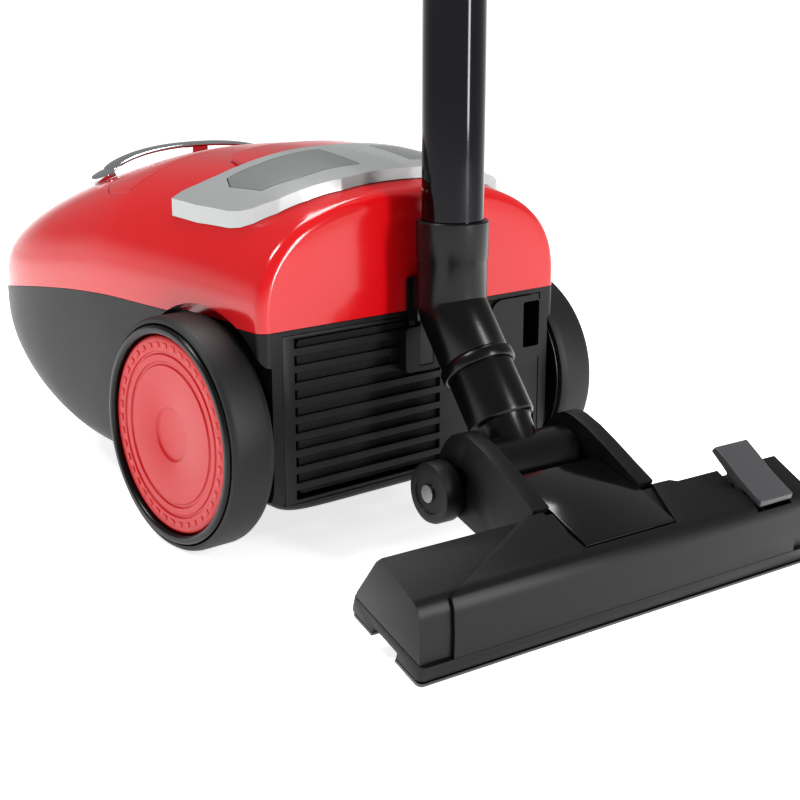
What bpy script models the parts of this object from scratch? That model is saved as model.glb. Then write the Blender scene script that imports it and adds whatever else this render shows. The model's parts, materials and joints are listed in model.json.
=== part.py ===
"""Canister vacuum cleaner with its floor head and telescopic tube parked upright at the back.

Frame: X across the canister, Y towards its nose, Z up, metres.  Shapes are modelled in a working
frame whose origin is on the floor under the rear wheels' axis; the empty "vacuum" then carries
everything so that the whole object stands centred over the origin.
"""
import math

import bmesh
import bpy
from mathutils import Matrix, Vector

# ---------------------------------------------------------------- driving dimensions (metres)
GAP = 0.0003            # clearance between pieces that touch
FIT = 0.0004            # clearance round an inserted panel
SLIVER = 0.00001        # edges shorter than this are merged after a cut

# canister body
REAR_Y = -0.057         # rear face
NOSE_Y = 0.318          # tip of the nose
BODY_HALF_WIDTH = 0.119
REAR_HALF_WIDTH = 0.114
WALL = 0.0025
REAR_EDGE_RADIUS = 0.006
REAR_PART_Z = 0.131     # seam between red shell and black housing, at the back
FLOOR_CLEARANCE = 0.0245
NOSE_RISE = 0.078       # how far the underside sweeps up at the nose
CROWN_Z = 0.2162        # highest point of the red shell
CROWN_Y = 0.102         # and where it is
REAR_DROP = 0.0163      # how far the crown falls to the back
NOSE_DROP = 0.0636      # and to the nose
FULL_WIDTH_Y = 0.130    # station where the nose starts to close
CROWN_FULLNESS = 2.5    # superellipse power of the upper half; 2 is an ellipse
BELLY_FULLNESS = 10.0   # and of the lower half, nearly square at the back

# rear wheels
TRACK = 0.284           # over the outer faces of both wheels
WHEEL_RADIUS = 0.0676
WHEEL_WIDTH = 0.030
HUB_CAP_RADIUS = 0.0576
TYRE_THICKNESS = 0.0043
AXLE_RADIUS = 0.005
WELL_CLEARANCE = 0.0045

# castor
CASTOR_Y = 0.185
CASTOR_TRAIL = 0.008
CASTOR_WHEEL_RADIUS = 0.0128
CASTOR_WHEEL_WIDTH = 0.014

# rear panel, parking slot and cable outlet
PANEL_HALF_WIDTH = 0.100
PANEL_LOW = 0.031
PANEL_HIGH = 0.128
PANEL_THICKNESS = 0.003
SLOT_COUNT = 10
SLOT_HEIGHT = 0.0056
SLOT_LEFT = -0.092
SLOT_RIGHT = 0.016
BRACKET_LOW = 0.095
BRACKET_HIGH = 0.122
HOOK_HALF_WIDTH = 0.012
HOOK_THICKNESS = 0.0024

# tube, elbow and neck
TUBE_OFFSET = 0.0267    # tube axis behind the rear face
TUBE_RADIUS = 0.0175
TUBE_WALL = 0.001
TUBE_LOW = 0.152
TUBE_HIGH = 0.640
INNER_TUBE_RADIUS = TUBE_RADIUS - TUBE_WALL - 0.0005
INNER_TUBE_LOW = 0.300
INNER_TUBE_HIGH = 0.800
ELBOW_RADIUS = TUBE_RADIUS + 0.0030
ELBOW_TOP = 0.186
KINK_Z = 0.137          # where the elbow bends
NECK_LEAN = math.radians(38.7)
ELBOW_LEG = 0.0357      # from the bend to the swivel seam
NECK_RADIUS = 0.0192
SPIGOT_RADIUS = 0.0153   # top of the neck, inside the elbow
HEAD_YAW = math.radians(-5.06)

# floor head
HEAD_LENGTH = 0.275
HEAD_DEPTH = 0.060
HEAD_TILT = math.radians(17.4)
HEAD_HEIGHT = 0.045
SOLE_HEIGHT = 0.0106    # height of the base under the cover
COVER_WALL = 0.0024
BROW_RADIUS = 0.0125    # rounding of the covers' front brow
COVER_STEP = 0.0020     # how far the front cover stands proud
COVER_BACK = 0.047      # back edge of the front cover, along the sole
PIVOT_S = 0.1045        # neck pivot behind the head's front edge, along the sole
PIVOT_H = 0.0277        # and above the sole
BARREL_RADIUS = 0.0180
CHEEK_INSIDE = 0.0315
CHEEK_OUTSIDE = 0.0420
HEAD_WHEEL_RADIUS = 0.0170
HEAD_WHEEL_WIDTH = 0.012
HEAD_WHEEL_S = 0.113
PEDAL_X = 0.104
PEDAL_WIDTH = 0.026
PEDAL_FRONT = 0.012
PEDAL_BACK = 0.054

# top of the canister
BAND_FRONT = 0.0235
LID_BACK = 0.0985       # hinge edge of the dust lid
LID_WIDEST = 0.122
LID_FRONT = 0.166
LID_HALF_WIDTH = 0.097
HANDLE_Y = 0.178
HANDLE_HALF = 0.070
HANDLE_RISE = 0.0080
HANDLE_DEPTH = 0.0150
HANDLE_THICKNESS = 0.0040
SWITCH_Y = 0.0          # the pedals' plungers pass the red shell here
BAND_RISE = 0.0068      # silver band stands this proud of the red shell
PEDAL_TRAVEL = 0.0020
LATCH_RISE = 0.0042

# inside
MOTOR_X = -0.048
MOTOR_Z = 0.078
MOTOR_RADIUS = 0.044
MOTOR_BACK = -0.038
MOTOR_FRONT = 0.046
REEL_X = 0.035
REEL_Y = 0.012
REEL_Z = 0.088
REEL_RADIUS = 0.050
REEL_WIDTH = 0.044
SOCKET_Y = 0.2915
SOCKET_Z = 0.150
SOCKET_TILT = math.radians(40)
SOCKET_BORE = 0.017

RING = 32               # points round the body's cross-section
ROUND = 28              # segments round wheels
SMALL = 20              # segments round tubes and small turned pieces

# ---------------------------------------------------------------- start clean
for old in list(bpy.data.objects):
    bpy.data.objects.remove(old, do_unlink=True)


# ---------------------------------------------------------------- materials
def make_material(name, colour, roughness, metallic=0.0):
    """One Principled material; the colour is linear RGB."""
    material = bpy.data.materials.new(name)
    material.use_nodes = True
    shader = material.node_tree.nodes["Principled BSDF"]
    shader.inputs["Base Color"].default_value = (*colour, 1.0)
    shader.inputs["Roughness"].default_value = roughness
    shader.inputs["Metallic"].default_value = metallic
    return material


RED = (0.68, 0.012, 0.018)
DARK = (0.012, 0.012, 0.013)
GREY = (0.045, 0.045, 0.047)
SILVER = (0.52, 0.53, 0.53)
STEEL = (0.60, 0.60, 0.62)
PALE = (0.55, 0.54, 0.50)
COPPER = (0.55, 0.20, 0.08)
GREEN = (0.02, 0.16, 0.06)


# ---------------------------------------------------------------- modelling helpers
def link(name, bm):
    """Turn a bmesh into a linked object with outward normals."""
    bmesh.ops.recalc_face_normals(bm, faces=bm.faces)
    mesh = bpy.data.meshes.new(name)
    bm.to_mesh(mesh)
    bm.free()
    item = bpy.data.objects.new(name, mesh)
    bpy.context.scene.collection.objects.link(item)
    return item


def loft(name, rings):
    """Skin a list of equal rings and close both ends."""
    bm = bmesh.new()
    rows = [[bm.verts.new(point) for point in ring] for ring in rings]
    count = len(rings[0])
    for low, high in zip(rows, rows[1:]):
        for i in range(count):
            j = (i + 1) % count
            bm.faces.new((low[i], low[j], high[j], high[i]))
    bm.faces.new(rows[0][::-1])
    bm.faces.new(rows[-1])
    return link(name, bm)


def prism(name, outline, axis, low, high):
    """Extrude a closed outline along an axis.  The outline's two values are the other two axes."""
    place = {
        "X": lambda a, b, t: (t, a, b),
        "Y": lambda a, b, t: (a, t, b),
        "Z": lambda a, b, t: (a, b, t),
    }[axis]
    return loft(name, [[place(a, b, t) for a, b in outline] for t in (low, high)])


def block(name, x, y, z, radius=0.0, axis="Z", corners=3):
    """A box from three (low, high) pairs, with its edges along one axis rounded."""
    spans = {"X": (y, z, x), "Y": (x, z, y), "Z": (x, y, z)}[axis]
    return prism(name, rounded_rectangle(spans[0], spans[1], radius, corners), axis, *spans[2])


def rounded_rectangle(across, along, radius, corners=3):
    """Outline of a rectangle given by two (low, high) pairs, with arcs at its corners."""
    if radius <= 0:
        return [(across[0], along[0]), (across[1], along[0]),
                (across[1], along[1]), (across[0], along[1])]
    points = []
    centres = [(across[1] - radius, along[1] - radius, 0), (across[0] + radius, along[1] - radius, 1),
               (across[0] + radius, along[0] + radius, 2), (across[1] - radius, along[0] + radius, 3)]
    for a, b, quarter in centres:
        for step in range(corners + 1):
            angle = math.pi / 2 * (quarter + step / corners)
            points.append((a + radius * math.cos(angle), b + radius * math.sin(angle)))
    return points


def turned(name, profile, origin, direction, segments=SMALL):
    """Revolve a profile of (radius, distance along the axis); radius 0 closes on the axis."""
    forward = Vector(direction).normalized()
    side = forward.orthogonal().normalized()
    if abs(forward.z) < 0.9:
        side = forward.cross(Vector((0, 0, 1))).normalized()
    other = forward.cross(side)
    bm = bmesh.new()
    rows = []
    for radius, along in profile:
        base = Vector(origin) + forward * along
        if radius == 0:
            rows.append([bm.verts.new(base)])
            continue
        ring = []
        for i in range(segments):
            angle = 2 * math.pi * i / segments
            ring.append(bm.verts.new(base + radius * (math.cos(angle) * side + math.sin(angle) * other)))
        rows.append(ring)
    closed = profile[0][0] != 0
    pairs = list(zip(rows, rows[1:])) + ([(rows[-1], rows[0])] if closed else [])
    for low, high in pairs:
        for i in range(segments):
            j = (i + 1) % segments
            corners = [low[i % len(low)], low[j % len(low)], high[j % len(high)], high[i % len(high)]]
            unique = list(dict.fromkeys(corners))
            if len(unique) > 2:
                bm.faces.new(unique)
    return link(name, bm)


def rod(name, radius, origin, direction, length, segments=SMALL):
    """A plain solid cylinder that starts at origin."""
    return turned(name, [(0, 0), (radius, 0), (radius, length), (0, length)], origin, direction, segments)


def pipe(name, path, radii, bores, segments=SMALL):
    """Sweep an annulus along points in the Y-Z plane, with its own radius and bore at each point."""
    bm = bmesh.new()
    skins = []
    for sizes in (radii, bores):
        rows = []
        for i, (point, radius) in enumerate(zip(path, sizes)):
            before = Vector(path[max(i - 1, 0)])
            after = Vector(path[min(i + 1, len(path) - 1)])
            along = (after - before).normalized()
            up = Vector((1, 0, 0)).cross(along)
            ring = []
            for k in range(segments):
                angle = 2 * math.pi * k / segments
                offset = math.cos(angle) * Vector((1, 0, 0)) + math.sin(angle) * up
                ring.append(bm.verts.new(Vector(point) + radius * offset))
            rows.append(ring)
        skins.append(rows)
    outer, inner = skins
    for rows in skins:
        for low, high in zip(rows, rows[1:]):
            for k in range(segments):
                j = (k + 1) % segments
                bm.faces.new((low[k], low[j], high[j], high[k]))
    for end in (0, -1):
        for k in range(segments):
            j = (k + 1) % segments
            bm.faces.new((outer[end][k], outer[end][j], inner[end][j], inner[end][k]))
    return link(name, bm)


def combine(target, tool, operation):
    """Cut, join or intersect a target with a tool, apply it, and drop the tool."""
    change = target.modifiers.new(operation, "BOOLEAN")
    change.object = tool
    change.operation = operation
    change.solver = "EXACT"
    bpy.context.view_layer.update()
    graph = bpy.context.evaluated_depsgraph_get()
    mesh = bpy.data.meshes.new_from_object(target.evaluated_get(graph))
    bm = bmesh.new()
    bm.from_mesh(mesh)
    bmesh.ops.remove_doubles(bm, verts=bm.verts, dist=SLIVER)
    bmesh.ops.dissolve_degenerate(bm, edges=bm.edges, dist=SLIVER)
    bm.to_mesh(mesh)
    bm.free()
    target.modifiers.clear()
    target.data = mesh
    bpy.data.objects.remove(tool, do_unlink=True)
    return target


def cut(target, tool):
    return combine(target, tool, "DIFFERENCE")


def join(target, tool):
    return combine(target, tool, "UNION")


def keep(target, tool):
    return combine(target, tool, "INTERSECT")


def finish(item, parent, colour, roughness=0.45, metallic=0.0, pivot=(0, 0, 0)):
    """Put a piece under its parent, with its origin at pivot, and give it its material."""
    item.data.transform(Matrix.Translation(-Vector(pivot)))
    item.location = pivot
    item.parent = parent
    item.data.materials.clear()
    item.data.materials.append(make_material(item.name + "_finish", colour, roughness, metallic))
    item.data.shade_smooth()
    item.data.set_sharp_from_angle(angle=math.radians(35))
    return item


def empty(name, parent=None, location=(0, 0, 0), rotation=(0, 0, 0)):
    """A guide that carries pieces."""
    guide = bpy.data.objects.new(name, None)
    guide.parent = parent
    guide.location = location
    guide.rotation_euler = rotation
    bpy.context.scene.collection.objects.link(guide)
    return guide


vacuum = empty("vacuum")


# ---------------------------------------------------------------- the canister's form
def smooth_step(value):
    value = min(max(value, 0.0), 1.0)
    return value * value * (3 - 2 * value)


def half_width(y):
    """Half the body's width before the nose closes it."""
    grow = smooth_step((y - REAR_Y) / (FULL_WIDTH_Y - REAR_Y))
    return REAR_HALF_WIDTH + (BODY_HALF_WIDTH - REAR_HALF_WIDTH) * grow


def parting_z(y):
    """Height of the seam between the red shell and the black housing."""
    return REAR_PART_Z - 0.020 * max((y - 0.090) / 0.180, 0.0) ** 1.6


def crown_z(y):
    """Height of the red shell along its middle: rises from the back, then falls to the nose."""
    if y < CROWN_Y:
        return CROWN_Z - REAR_DROP * ((CROWN_Y - y) / (CROWN_Y - REAR_Y)) ** 2.8
    return CROWN_Z - NOSE_DROP * ((y - CROWN_Y) / (NOSE_Y - CROWN_Y)) ** 1.28


def underside_z(y):
    """Height of the underside, which sweeps up to the nose."""
    run = max((y - 0.110) / (NOSE_Y - 0.110), 0.0)
    return FLOOR_CLEARANCE + NOSE_RISE * run ** 2.2


def body_ring(y, inset):
    """Cross-section at y of the body made smaller all round by inset."""
    closing = max((y - FULL_WIDTH_Y) / (NOSE_Y - inset - FULL_WIDTH_Y), 0.0)
    middle = parting_z(y) + 0.006
    radius = max(REAR_EDGE_RADIUS - inset, 0.001)
    from_back = y - (REAR_Y + inset)
    rounding = 0.0
    if from_back < radius:
        rounding = radius - math.sqrt(max(radius ** 2 - (radius - from_back) ** 2, 0.0))
    wide = (half_width(y) - inset - rounding) * (1 - closing ** 3.6) ** (1 / 3)
    shut_above, shut_below = (1 - closing ** 4.9) ** 0.45, (1 - closing ** 8) ** 0.45
    high = (crown_z(y) - inset - rounding - middle) * shut_above
    deep = (middle - underside_z(y) - inset - rounding) * shut_below
    fullness = BELLY_FULLNESS - 5.0 * smooth_step((y - 0.090) / 0.200)
    ring = []
    for i in range(RING):
        angle = 2 * math.pi * i / RING
        c, s = math.cos(angle), math.sin(angle)
        power = 2 / CROWN_FULLNESS if s >= 0 else 2 / fullness
        x = wide * math.copysign(abs(c) ** power, c)
        z = middle + (high if s >= 0 else deep) * math.copysign(abs(s) ** power, s)
        ring.append((x, y, z))
    return ring


def body_solid(name, inset=0.0):
    """The whole canister as one closed form, grown or shrunk by inset."""
    back = REAR_Y + inset
    radius = max(REAR_EDGE_RADIUS - inset, 0.001)
    stations = [back, back + 0.13 * radius, back + 0.5 * radius, back + radius]
    for step in range(1, 7):
        stations.append(back + radius + (FULL_WIDTH_Y - back - radius) * step / 6)
    for share in (0.22, 0.43, 0.60, 0.74, 0.86, 0.94, 0.98, 0.996):
        stations.append(FULL_WIDTH_Y + (NOSE_Y - inset - FULL_WIDTH_Y) * share)
    return loft(name, [body_ring(y, inset) for y in stations])


def shell_z(x, y):
    """Height of the red shell's surface over a point on the floor plan."""
    middle = parting_z(y) + 0.006
    share = min(abs(x) / half_width(y), 1.0)
    return middle + (crown_z(y) - middle) * (1 - share ** CROWN_FULLNESS) ** (1 / CROWN_FULLNESS)


def above_parting(name, shift):
    """A tool that fills everything above the seam, moved up by shift."""
    outline = [(-0.2, 0.4), (-0.2, parting_z(-0.2) + shift)]
    for step in range(15):
        y = 0.060 + 0.300 * step / 14
        outline.append((y, parting_z(y) + shift))
    outline.append((0.360, 0.4))
    return prism(name, outline, "X", -0.3, 0.3)


def wheel_wells(radius, inside):
    """Two cylinders, joined by nothing, that clear the wheels; returned one at a time."""
    for side in (-1, 1):
        yield rod("well", radius, (side * inside, 0, WHEEL_RADIUS), (side, 0, 0), 0.08, ROUND)


# ---------------------------------------------------------------- outlines on the floor plan
def mirrored(half):
    """Close a right-hand outline, given from back to front, with its mirror image."""
    left = [(-x, y) for x, y in reversed(half) if x > 1e-6]
    return half + left


def band_outline():
    """Silver band: rounded corners at the back, and ends swept towards the nose."""
    return mirrored([(0, -0.0390), (0.045, -0.0405), (0.068, -0.0370), (0.084, -0.0320), (0.094, -0.0240),
                     (0.100, -0.0090), (0.1025, 0.0200), (0.1030, 0.0455), (0.098, 0.0420), (0.091, 0.0345),
                     (0.082, 0.0285), (0.069, 0.0248), (0.053, 0.0232), (0, BAND_FRONT)])


def lid_outline(grow=0.0):
    """Dust lid: nearly straight at its hinge, with straight sides and an arched front."""
    half = [(0, LID_BACK - grow), (0.060, LID_BACK - grow), (0.084 + 0.3 * grow, LID_BACK + 0.0025 - grow),
            (0.096 + grow, LID_BACK + 0.0075 - grow)]
    for step in range(9):
        angle = math.pi / 2 * step / 8
        half.append(((LID_HALF_WIDTH + grow) * math.cos(angle) ** 0.7,
                     LID_WIDEST + (LID_FRONT - LID_WIDEST + grow) * math.sin(angle)))
    half[-1] = (0, LID_FRONT + grow)
    return mirrored(half)


def latch_outline(grow=0.0):
    """Lid release: a wide tongue in front of the band."""
    back = BAND_FRONT + 0.0022
    return mirrored([(0, back - grow), (0.062 + grow, back - grow), (0.053 + grow, 0.0565 + grow),
                     (0.030, 0.0600 + grow), (0, 0.0610 + grow)])


def skin(name, outline, outer, inner):
    """A curved panel cut from the body's form between two insets, bounded by a plan outline."""
    panel = keep(body_solid(name, outer), prism("bound", outline, "Z", 0.150, 0.300))
    return cut(panel, body_solid("under", inner))


# ---------------------------------------------------------------- canister shells
def make_cavity(name):
    """The hollow inside both shells, which leaves a wall round each wheel well."""
    cavity = body_solid(name, WALL)
    inside = TRACK / 2 - WHEEL_WIDTH - WELL_CLEARANCE - WALL
    for well in wheel_wells(WHEEL_RADIUS + WELL_CLEARANCE + WALL, inside):
        cut(cavity, well)
    return cavity


def cut_wells(shell):
    for well in wheel_wells(WHEEL_RADIUS + WELL_CLEARANCE, TRACK / 2 - WHEEL_WIDTH - WELL_CLEARANCE):
        cut(shell, well)


def make_lower_housing():
    """Black tub with wheel wells, the castor boss and an opening for the rear panel."""
    housing = body_solid("lower_housing")
    cut(housing, above_parting("above", 0.0))
    boss_bottom = 2 * CASTOR_WHEEL_RADIUS + 0.0059
    join(housing, rod("boss", 0.018, (0, CASTOR_Y, boss_bottom), (0, 0, 1), 0.014))
    cut_wells(housing)
    cut(housing, make_cavity("cavity"))
    cut(housing, rod("castor_recess", 0.0160, (0, CASTOR_Y, boss_bottom - 0.012), (0, 0, 1), 0.012, SMALL))
    cut(housing, rod("stem_hole", 0.0043, (0, CASTOR_Y, boss_bottom - 0.01), (0, 0, 1), 0.0145, SMALL))
    cut(housing, block("panel_opening", (-PANEL_HALF_WIDTH - FIT, PANEL_HALF_WIDTH + FIT),
                       (REAR_Y - 0.01, REAR_Y + 0.01), (PANEL_LOW - FIT, PANEL_HIGH + FIT)))
    finish(housing, vacuum, DARK, 0.42)


def make_upper_shell():
    """Red shell: open underneath, with the dust bay's opening and the hose hole."""
    shell = body_solid("upper_shell")
    cut_wells(shell)
    cut(shell, make_cavity("cavity"))
    keep(shell, above_parting("above", GAP))
    cut(shell, prism("bay", lid_outline(FIT), "Z", 0.165, 0.260))
    cut(shell, prism("latch_window", latch_outline(2 * GAP), "Z", 0.165, 0.260))
    cut(shell, rod("hose_hole", 0.0243, socket_point(-0.012), socket_axis(), 0.040, SMALL))
    for side in (-1, 1):
        cut(shell, block("plunger_window", tuple(sorted((side * 0.040, side * 0.062))),
                         (SWITCH_Y - 0.012, SWITCH_Y + 0.012), (0.150, 0.260)))
    finish(shell, vacuum, RED, 0.2)


def socket_axis():
    return Vector((0, math.cos(SOCKET_TILT), math.sin(SOCKET_TILT)))


def socket_point(along):
    return Vector((0, SOCKET_Y, SOCKET_Z)) + socket_axis() * along


def lid_hinge():
    """A point on the dust lid's hinge line, just above the shell at the lid's back edge."""
    return 0, LID_BACK - FIT, crown_z(LID_BACK) + 0.0005


def make_lid():
    """Dust lid, the frame it closes on, and the tongue that releases it."""
    finish(skin("dust_lid", lid_outline(), 0.0, WALL), vacuum, RED, 0.2, pivot=lid_hinge())
    frame = skin("bay_frame", lid_outline(0.004), WALL + GAP, 0.0048)
    cut(frame, prism("bay", lid_outline(-0.009), "Z", 0.120, 0.300))
    finish(frame, vacuum, DARK, 0.5)
    finish(skin("lid_latch", latch_outline(), -LATCH_RISE, WALL), vacuum, RED, 0.2)


def make_band():
    """Silver band over the middle with its two foot pedals and the switch under one of them."""
    panel = skin("control_panel", band_outline(), -BAND_RISE, -GAP)
    for side, name in ((-1, "power_pedal"), (1, "rewind_pedal")):
        plan = pedal_plan(side, 0.0)
        well = keep(body_solid("well", -BAND_RISE - 0.002),
                    prism("plan", pedal_plan(side, 0.0006), "Z", 0.150, 0.300))
        cut(well, body_solid("floor", -0.0022))
        cut(panel, well)
        pedal = skin(name, plan, -BAND_RISE, -0.0022 - PEDAL_TRAVEL - 0.0004)
        finish(pedal, vacuum, GREY if side > 0 else SILVER, 0.3, pivot=(side * 0.052, 0.020, 0.200))
    finish(panel, vacuum, SILVER, 0.3, 0.3)


def pedal_plan(side, grow):
    """Floor-plan outline of one foot pedal."""
    points = [(0.020 - grow, -0.0250 - grow), (0.062, -0.0230 - grow), (0.082 + grow, -0.0150 - grow),
              (0.087 + grow, 0.0080), (0.082 + grow, 0.0180 + grow), (0.060, 0.0145 + grow),
              (0.020 - grow, 0.0135 + grow)]
    return [(side * x, y) for x, y in points]


def make_handle():
    """Chrome carry handle: a low arch over the nose with a post in its middle and two feet."""
    depth, thick = HANDLE_DEPTH / 2, HANDLE_THICKNESS / 2
    rings = []
    for step in range(17):
        share = -1 + 2 * step / 16
        x = HANDLE_HALF * share
        bow = math.sqrt(max(1 - share ** 2, 0.0))
        z = shell_z(x, HANDLE_Y) + 0.0035 + HANDLE_RISE * bow ** 0.7
        rings.append([(x, HANDLE_Y + depth * math.cos(a), z + thick * math.sin(a))
                      for a in (2 * math.pi * k / 10 for k in range(10))])
    handle = loft("carry_handle", rings)
    top = shell_z(0, HANDLE_Y)
    join(handle, block("post", (-0.006, 0.006), (HANDLE_Y - 0.005, HANDLE_Y + 0.005),
                       (top - 0.001, top + 0.0035 + HANDLE_RISE)))
    for side in (-1, 1):
        foot_z = shell_z(HANDLE_HALF, HANDLE_Y)
        join(handle, rod("foot", 0.0080, (side * HANDLE_HALF, HANDLE_Y, foot_z - 0.004), (side * 0.45, 0, 1),
                         0.009, 12))
    cut(handle, body_solid("under", -GAP))
    finish(handle, vacuum, SILVER, 0.12, 0.9)


def make_rear_panel():
    """Grille plate with its parking bracket, and the cable outlet plate on its right."""
    face = REAR_Y + GAP
    plate = block("rear_grille", (-PANEL_HALF_WIDTH, PANEL_HALF_WIDTH),
                  (face, face + PANEL_THICKNESS), (PANEL_LOW, PANEL_HIGH), 0.002, "Y", 2)
    pitch = (PANEL_HIGH - PANEL_LOW) / SLOT_COUNT
    for index in range(SLOT_COUNT):
        z = PANEL_LOW + pitch * (index + 0.5)
        cut(plate, block("slot", (SLOT_LEFT, SLOT_RIGHT), (face - 0.01, face + 0.01),
                         (z - SLOT_HEIGHT / 2, z + SLOT_HEIGHT / 2)))
    cut(plate, block("cable_hole", (0.083, 0.099), (face - 0.01, face + 0.01), (0.094, 0.125), 0.002, "Y"))
    cut(plate, block("vent", (0.086, 0.097), (face - 0.01, face + 0.01), (0.043, 0.056), 0.001, "Y"))
    finish(plate, vacuum, GREY, 0.5)

    outlet = block("cable_outlet", (0.056, PANEL_HALF_WIDTH), (face - 0.0022, face - GAP),
                   (0.084, PANEL_HIGH), 0.009, "Y", 4)
    cut(outlet, block("mouth", (0.084, 0.098), (face - 0.01, face + 0.01), (0.095, 0.124), 0.0015, "Y"))
    finish(outlet, vacuum, DARK, 0.5)

    back = face - GAP
    slot_depth = HOOK_THICKNESS + 0.0008
    front = back - slot_depth - 0.0022
    bracket = block("parking_bracket", (-0.016, 0.016), (front, back), (BRACKET_LOW, BRACKET_HIGH),
                    0.003, "Y", 2)
    floor_z = BRACKET_LOW + 0.003
    cut(bracket, block("pocket", (-HOOK_HALF_WIDTH - FIT, HOOK_HALF_WIDTH + FIT),
                       (back - slot_depth, back + 0.01), (floor_z, BRACKET_HIGH + 0.01)))
    cut(bracket, block("throat", (-0.0054, 0.0054), (front - 0.01, back - slot_depth + 0.001),
                       (floor_z, BRACKET_HIGH + 0.01)))
    finish(bracket, vacuum, DARK, 0.5)
    exhaust = block("exhaust_filter", (-0.088, 0.020), (face + PANEL_THICKNESS + GAP, face + 0.012),
                    (PANEL_LOW + 0.004, PANEL_HIGH - 0.004), 0.002, "Y", 1)
    finish(exhaust, vacuum, PALE, 0.9)


# ---------------------------------------------------------------- wheels
def make_rear_wheels():
    """Each rear wheel: black wheel, rubber tyre, red hub cap, and the stub axle it turns on."""
    hub_wall = TRACK / 2 - WHEEL_WIDTH
    rim = WHEEL_RADIUS - TYRE_THICKNESS
    w = WHEEL_WIDTH
    for side, label in ((-1, "left"), (1, "right")):
        centre = (side * hub_wall, 0, WHEEL_RADIUS)
        out = (side, 0, 0)
        bore = AXLE_RADIUS + GAP
        profile = [(bore, 0.003), (bore, 0.021), (0.012, 0.021), (0.013, 0.014),
                   (HUB_CAP_RADIUS + FIT, 0.014), (HUB_CAP_RADIUS + FIT, w - 0.001),
                   (HUB_CAP_RADIUS + 0.0016, w), (rim - 0.0012, w), (rim, w - 0.0012),
                   (rim, 0.0), (rim - 0.004, 0.0), (rim - 0.005, 0.011), (0.013, 0.011), (0.012, 0.003)]
        wheel = turned(label + "_wheel", profile, centre, out, ROUND)
        finish(wheel, vacuum, DARK, 0.35, pivot=centre)
        inside = rim + GAP
        profile = [(inside, 0.0015), (inside, w - 0.0026), (WHEEL_RADIUS - 0.0018, w - 0.0022),
                   (WHEEL_RADIUS, w - 0.0050), (WHEEL_RADIUS, 0.0050), (WHEEL_RADIUS - 0.0018, 0.0015)]
        tyre = turned(label + "_tyre", profile, centre, out, ROUND)
        finish(tyre, vacuum, DARK, 0.75, pivot=centre)
        cap = HUB_CAP_RADIUS
        profile = [(0, w - 0.0052), (0.016, w - 0.0050), (0.017, w - 0.0036), (0.042, w - 0.0030),
                   (0.0432, w - 0.0040), (0.0446, w - 0.0028), (cap - 0.002, w - 0.0022),
                   (cap, w - 0.0034), (cap, w - 0.0072), (0, w - 0.0074)]
        hub = turned(label + "_hub_cap", profile, centre, out, ROUND)
        finish(hub, vacuum, RED, 0.35, pivot=centre)
        profile = [(0, GAP - WELL_CLEARANCE), (0.011, GAP - WELL_CLEARANCE), (0.011, 0.0022),
                   (AXLE_RADIUS, 0.0022), (AXLE_RADIUS, 0.0216), (0, 0.0216)]
        axle = turned(label + "_stub_axle", profile, centre, out, 16)
        finish(axle, vacuum, STEEL, 0.3, 1.0, pivot=centre)


def make_castor():
    """Front castor: swivelling fork, its wheel and its axle."""
    wheel_y = CASTOR_Y - CASTOR_TRAIL
    r, half = CASTOR_WHEEL_RADIUS, CASTOR_WHEEL_WIDTH / 2
    pivot = (0, CASTOR_Y, r)
    fork = rod("castor_fork", 0.0143, (0, CASTOR_Y, 2 * r + 0.0012), (0, 0, 1), 0.0040, SMALL)
    join(fork, rod("stem", 0.0040, (0, CASTOR_Y, 2 * r + 0.0040), (0, 0, 1), 0.0060, SMALL))
    for side in (-1, 1):
        outer, inner = side * (half + 0.0036), side * (half + 0.0008)
        cheek = [(CASTOR_Y + 0.006, 2 * r + 0.003), (CASTOR_Y - 0.007, 2 * r + 0.003),
                 (wheel_y - 0.006, r), (wheel_y - 0.003, r - 0.005),
                 (wheel_y + 0.003, r - 0.005), (wheel_y + 0.007, r)]
        join(fork, prism("cheek", cheek, "X", min(outer, inner), max(outer, inner)))
    cut(fork, rod("axle_hole", 0.0022, (-0.03, wheel_y, r), (1, 0, 0), 0.06, 12))
    finish(fork, vacuum, DARK, 0.5, pivot=pivot)
    profile = [(0.0022, -half), (r - 0.0025, -half), (r, -half + 0.0025),
               (r, half - 0.0025), (r - 0.0025, half), (0.0022, half)]
    wheel = turned("castor_wheel", profile, (0, wheel_y, r), (1, 0, 0), SMALL)
    finish(wheel, vacuum, GREY, 0.6, pivot=(0, wheel_y, r))
    axle = rod("castor_axle", 0.0019, (-half - 0.0034, wheel_y, r), (1, 0, 0), 2 * half + 0.0068, 12)
    finish(axle, vacuum, STEEL, 0.3, 1.0, pivot=(0, wheel_y, r))


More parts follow.
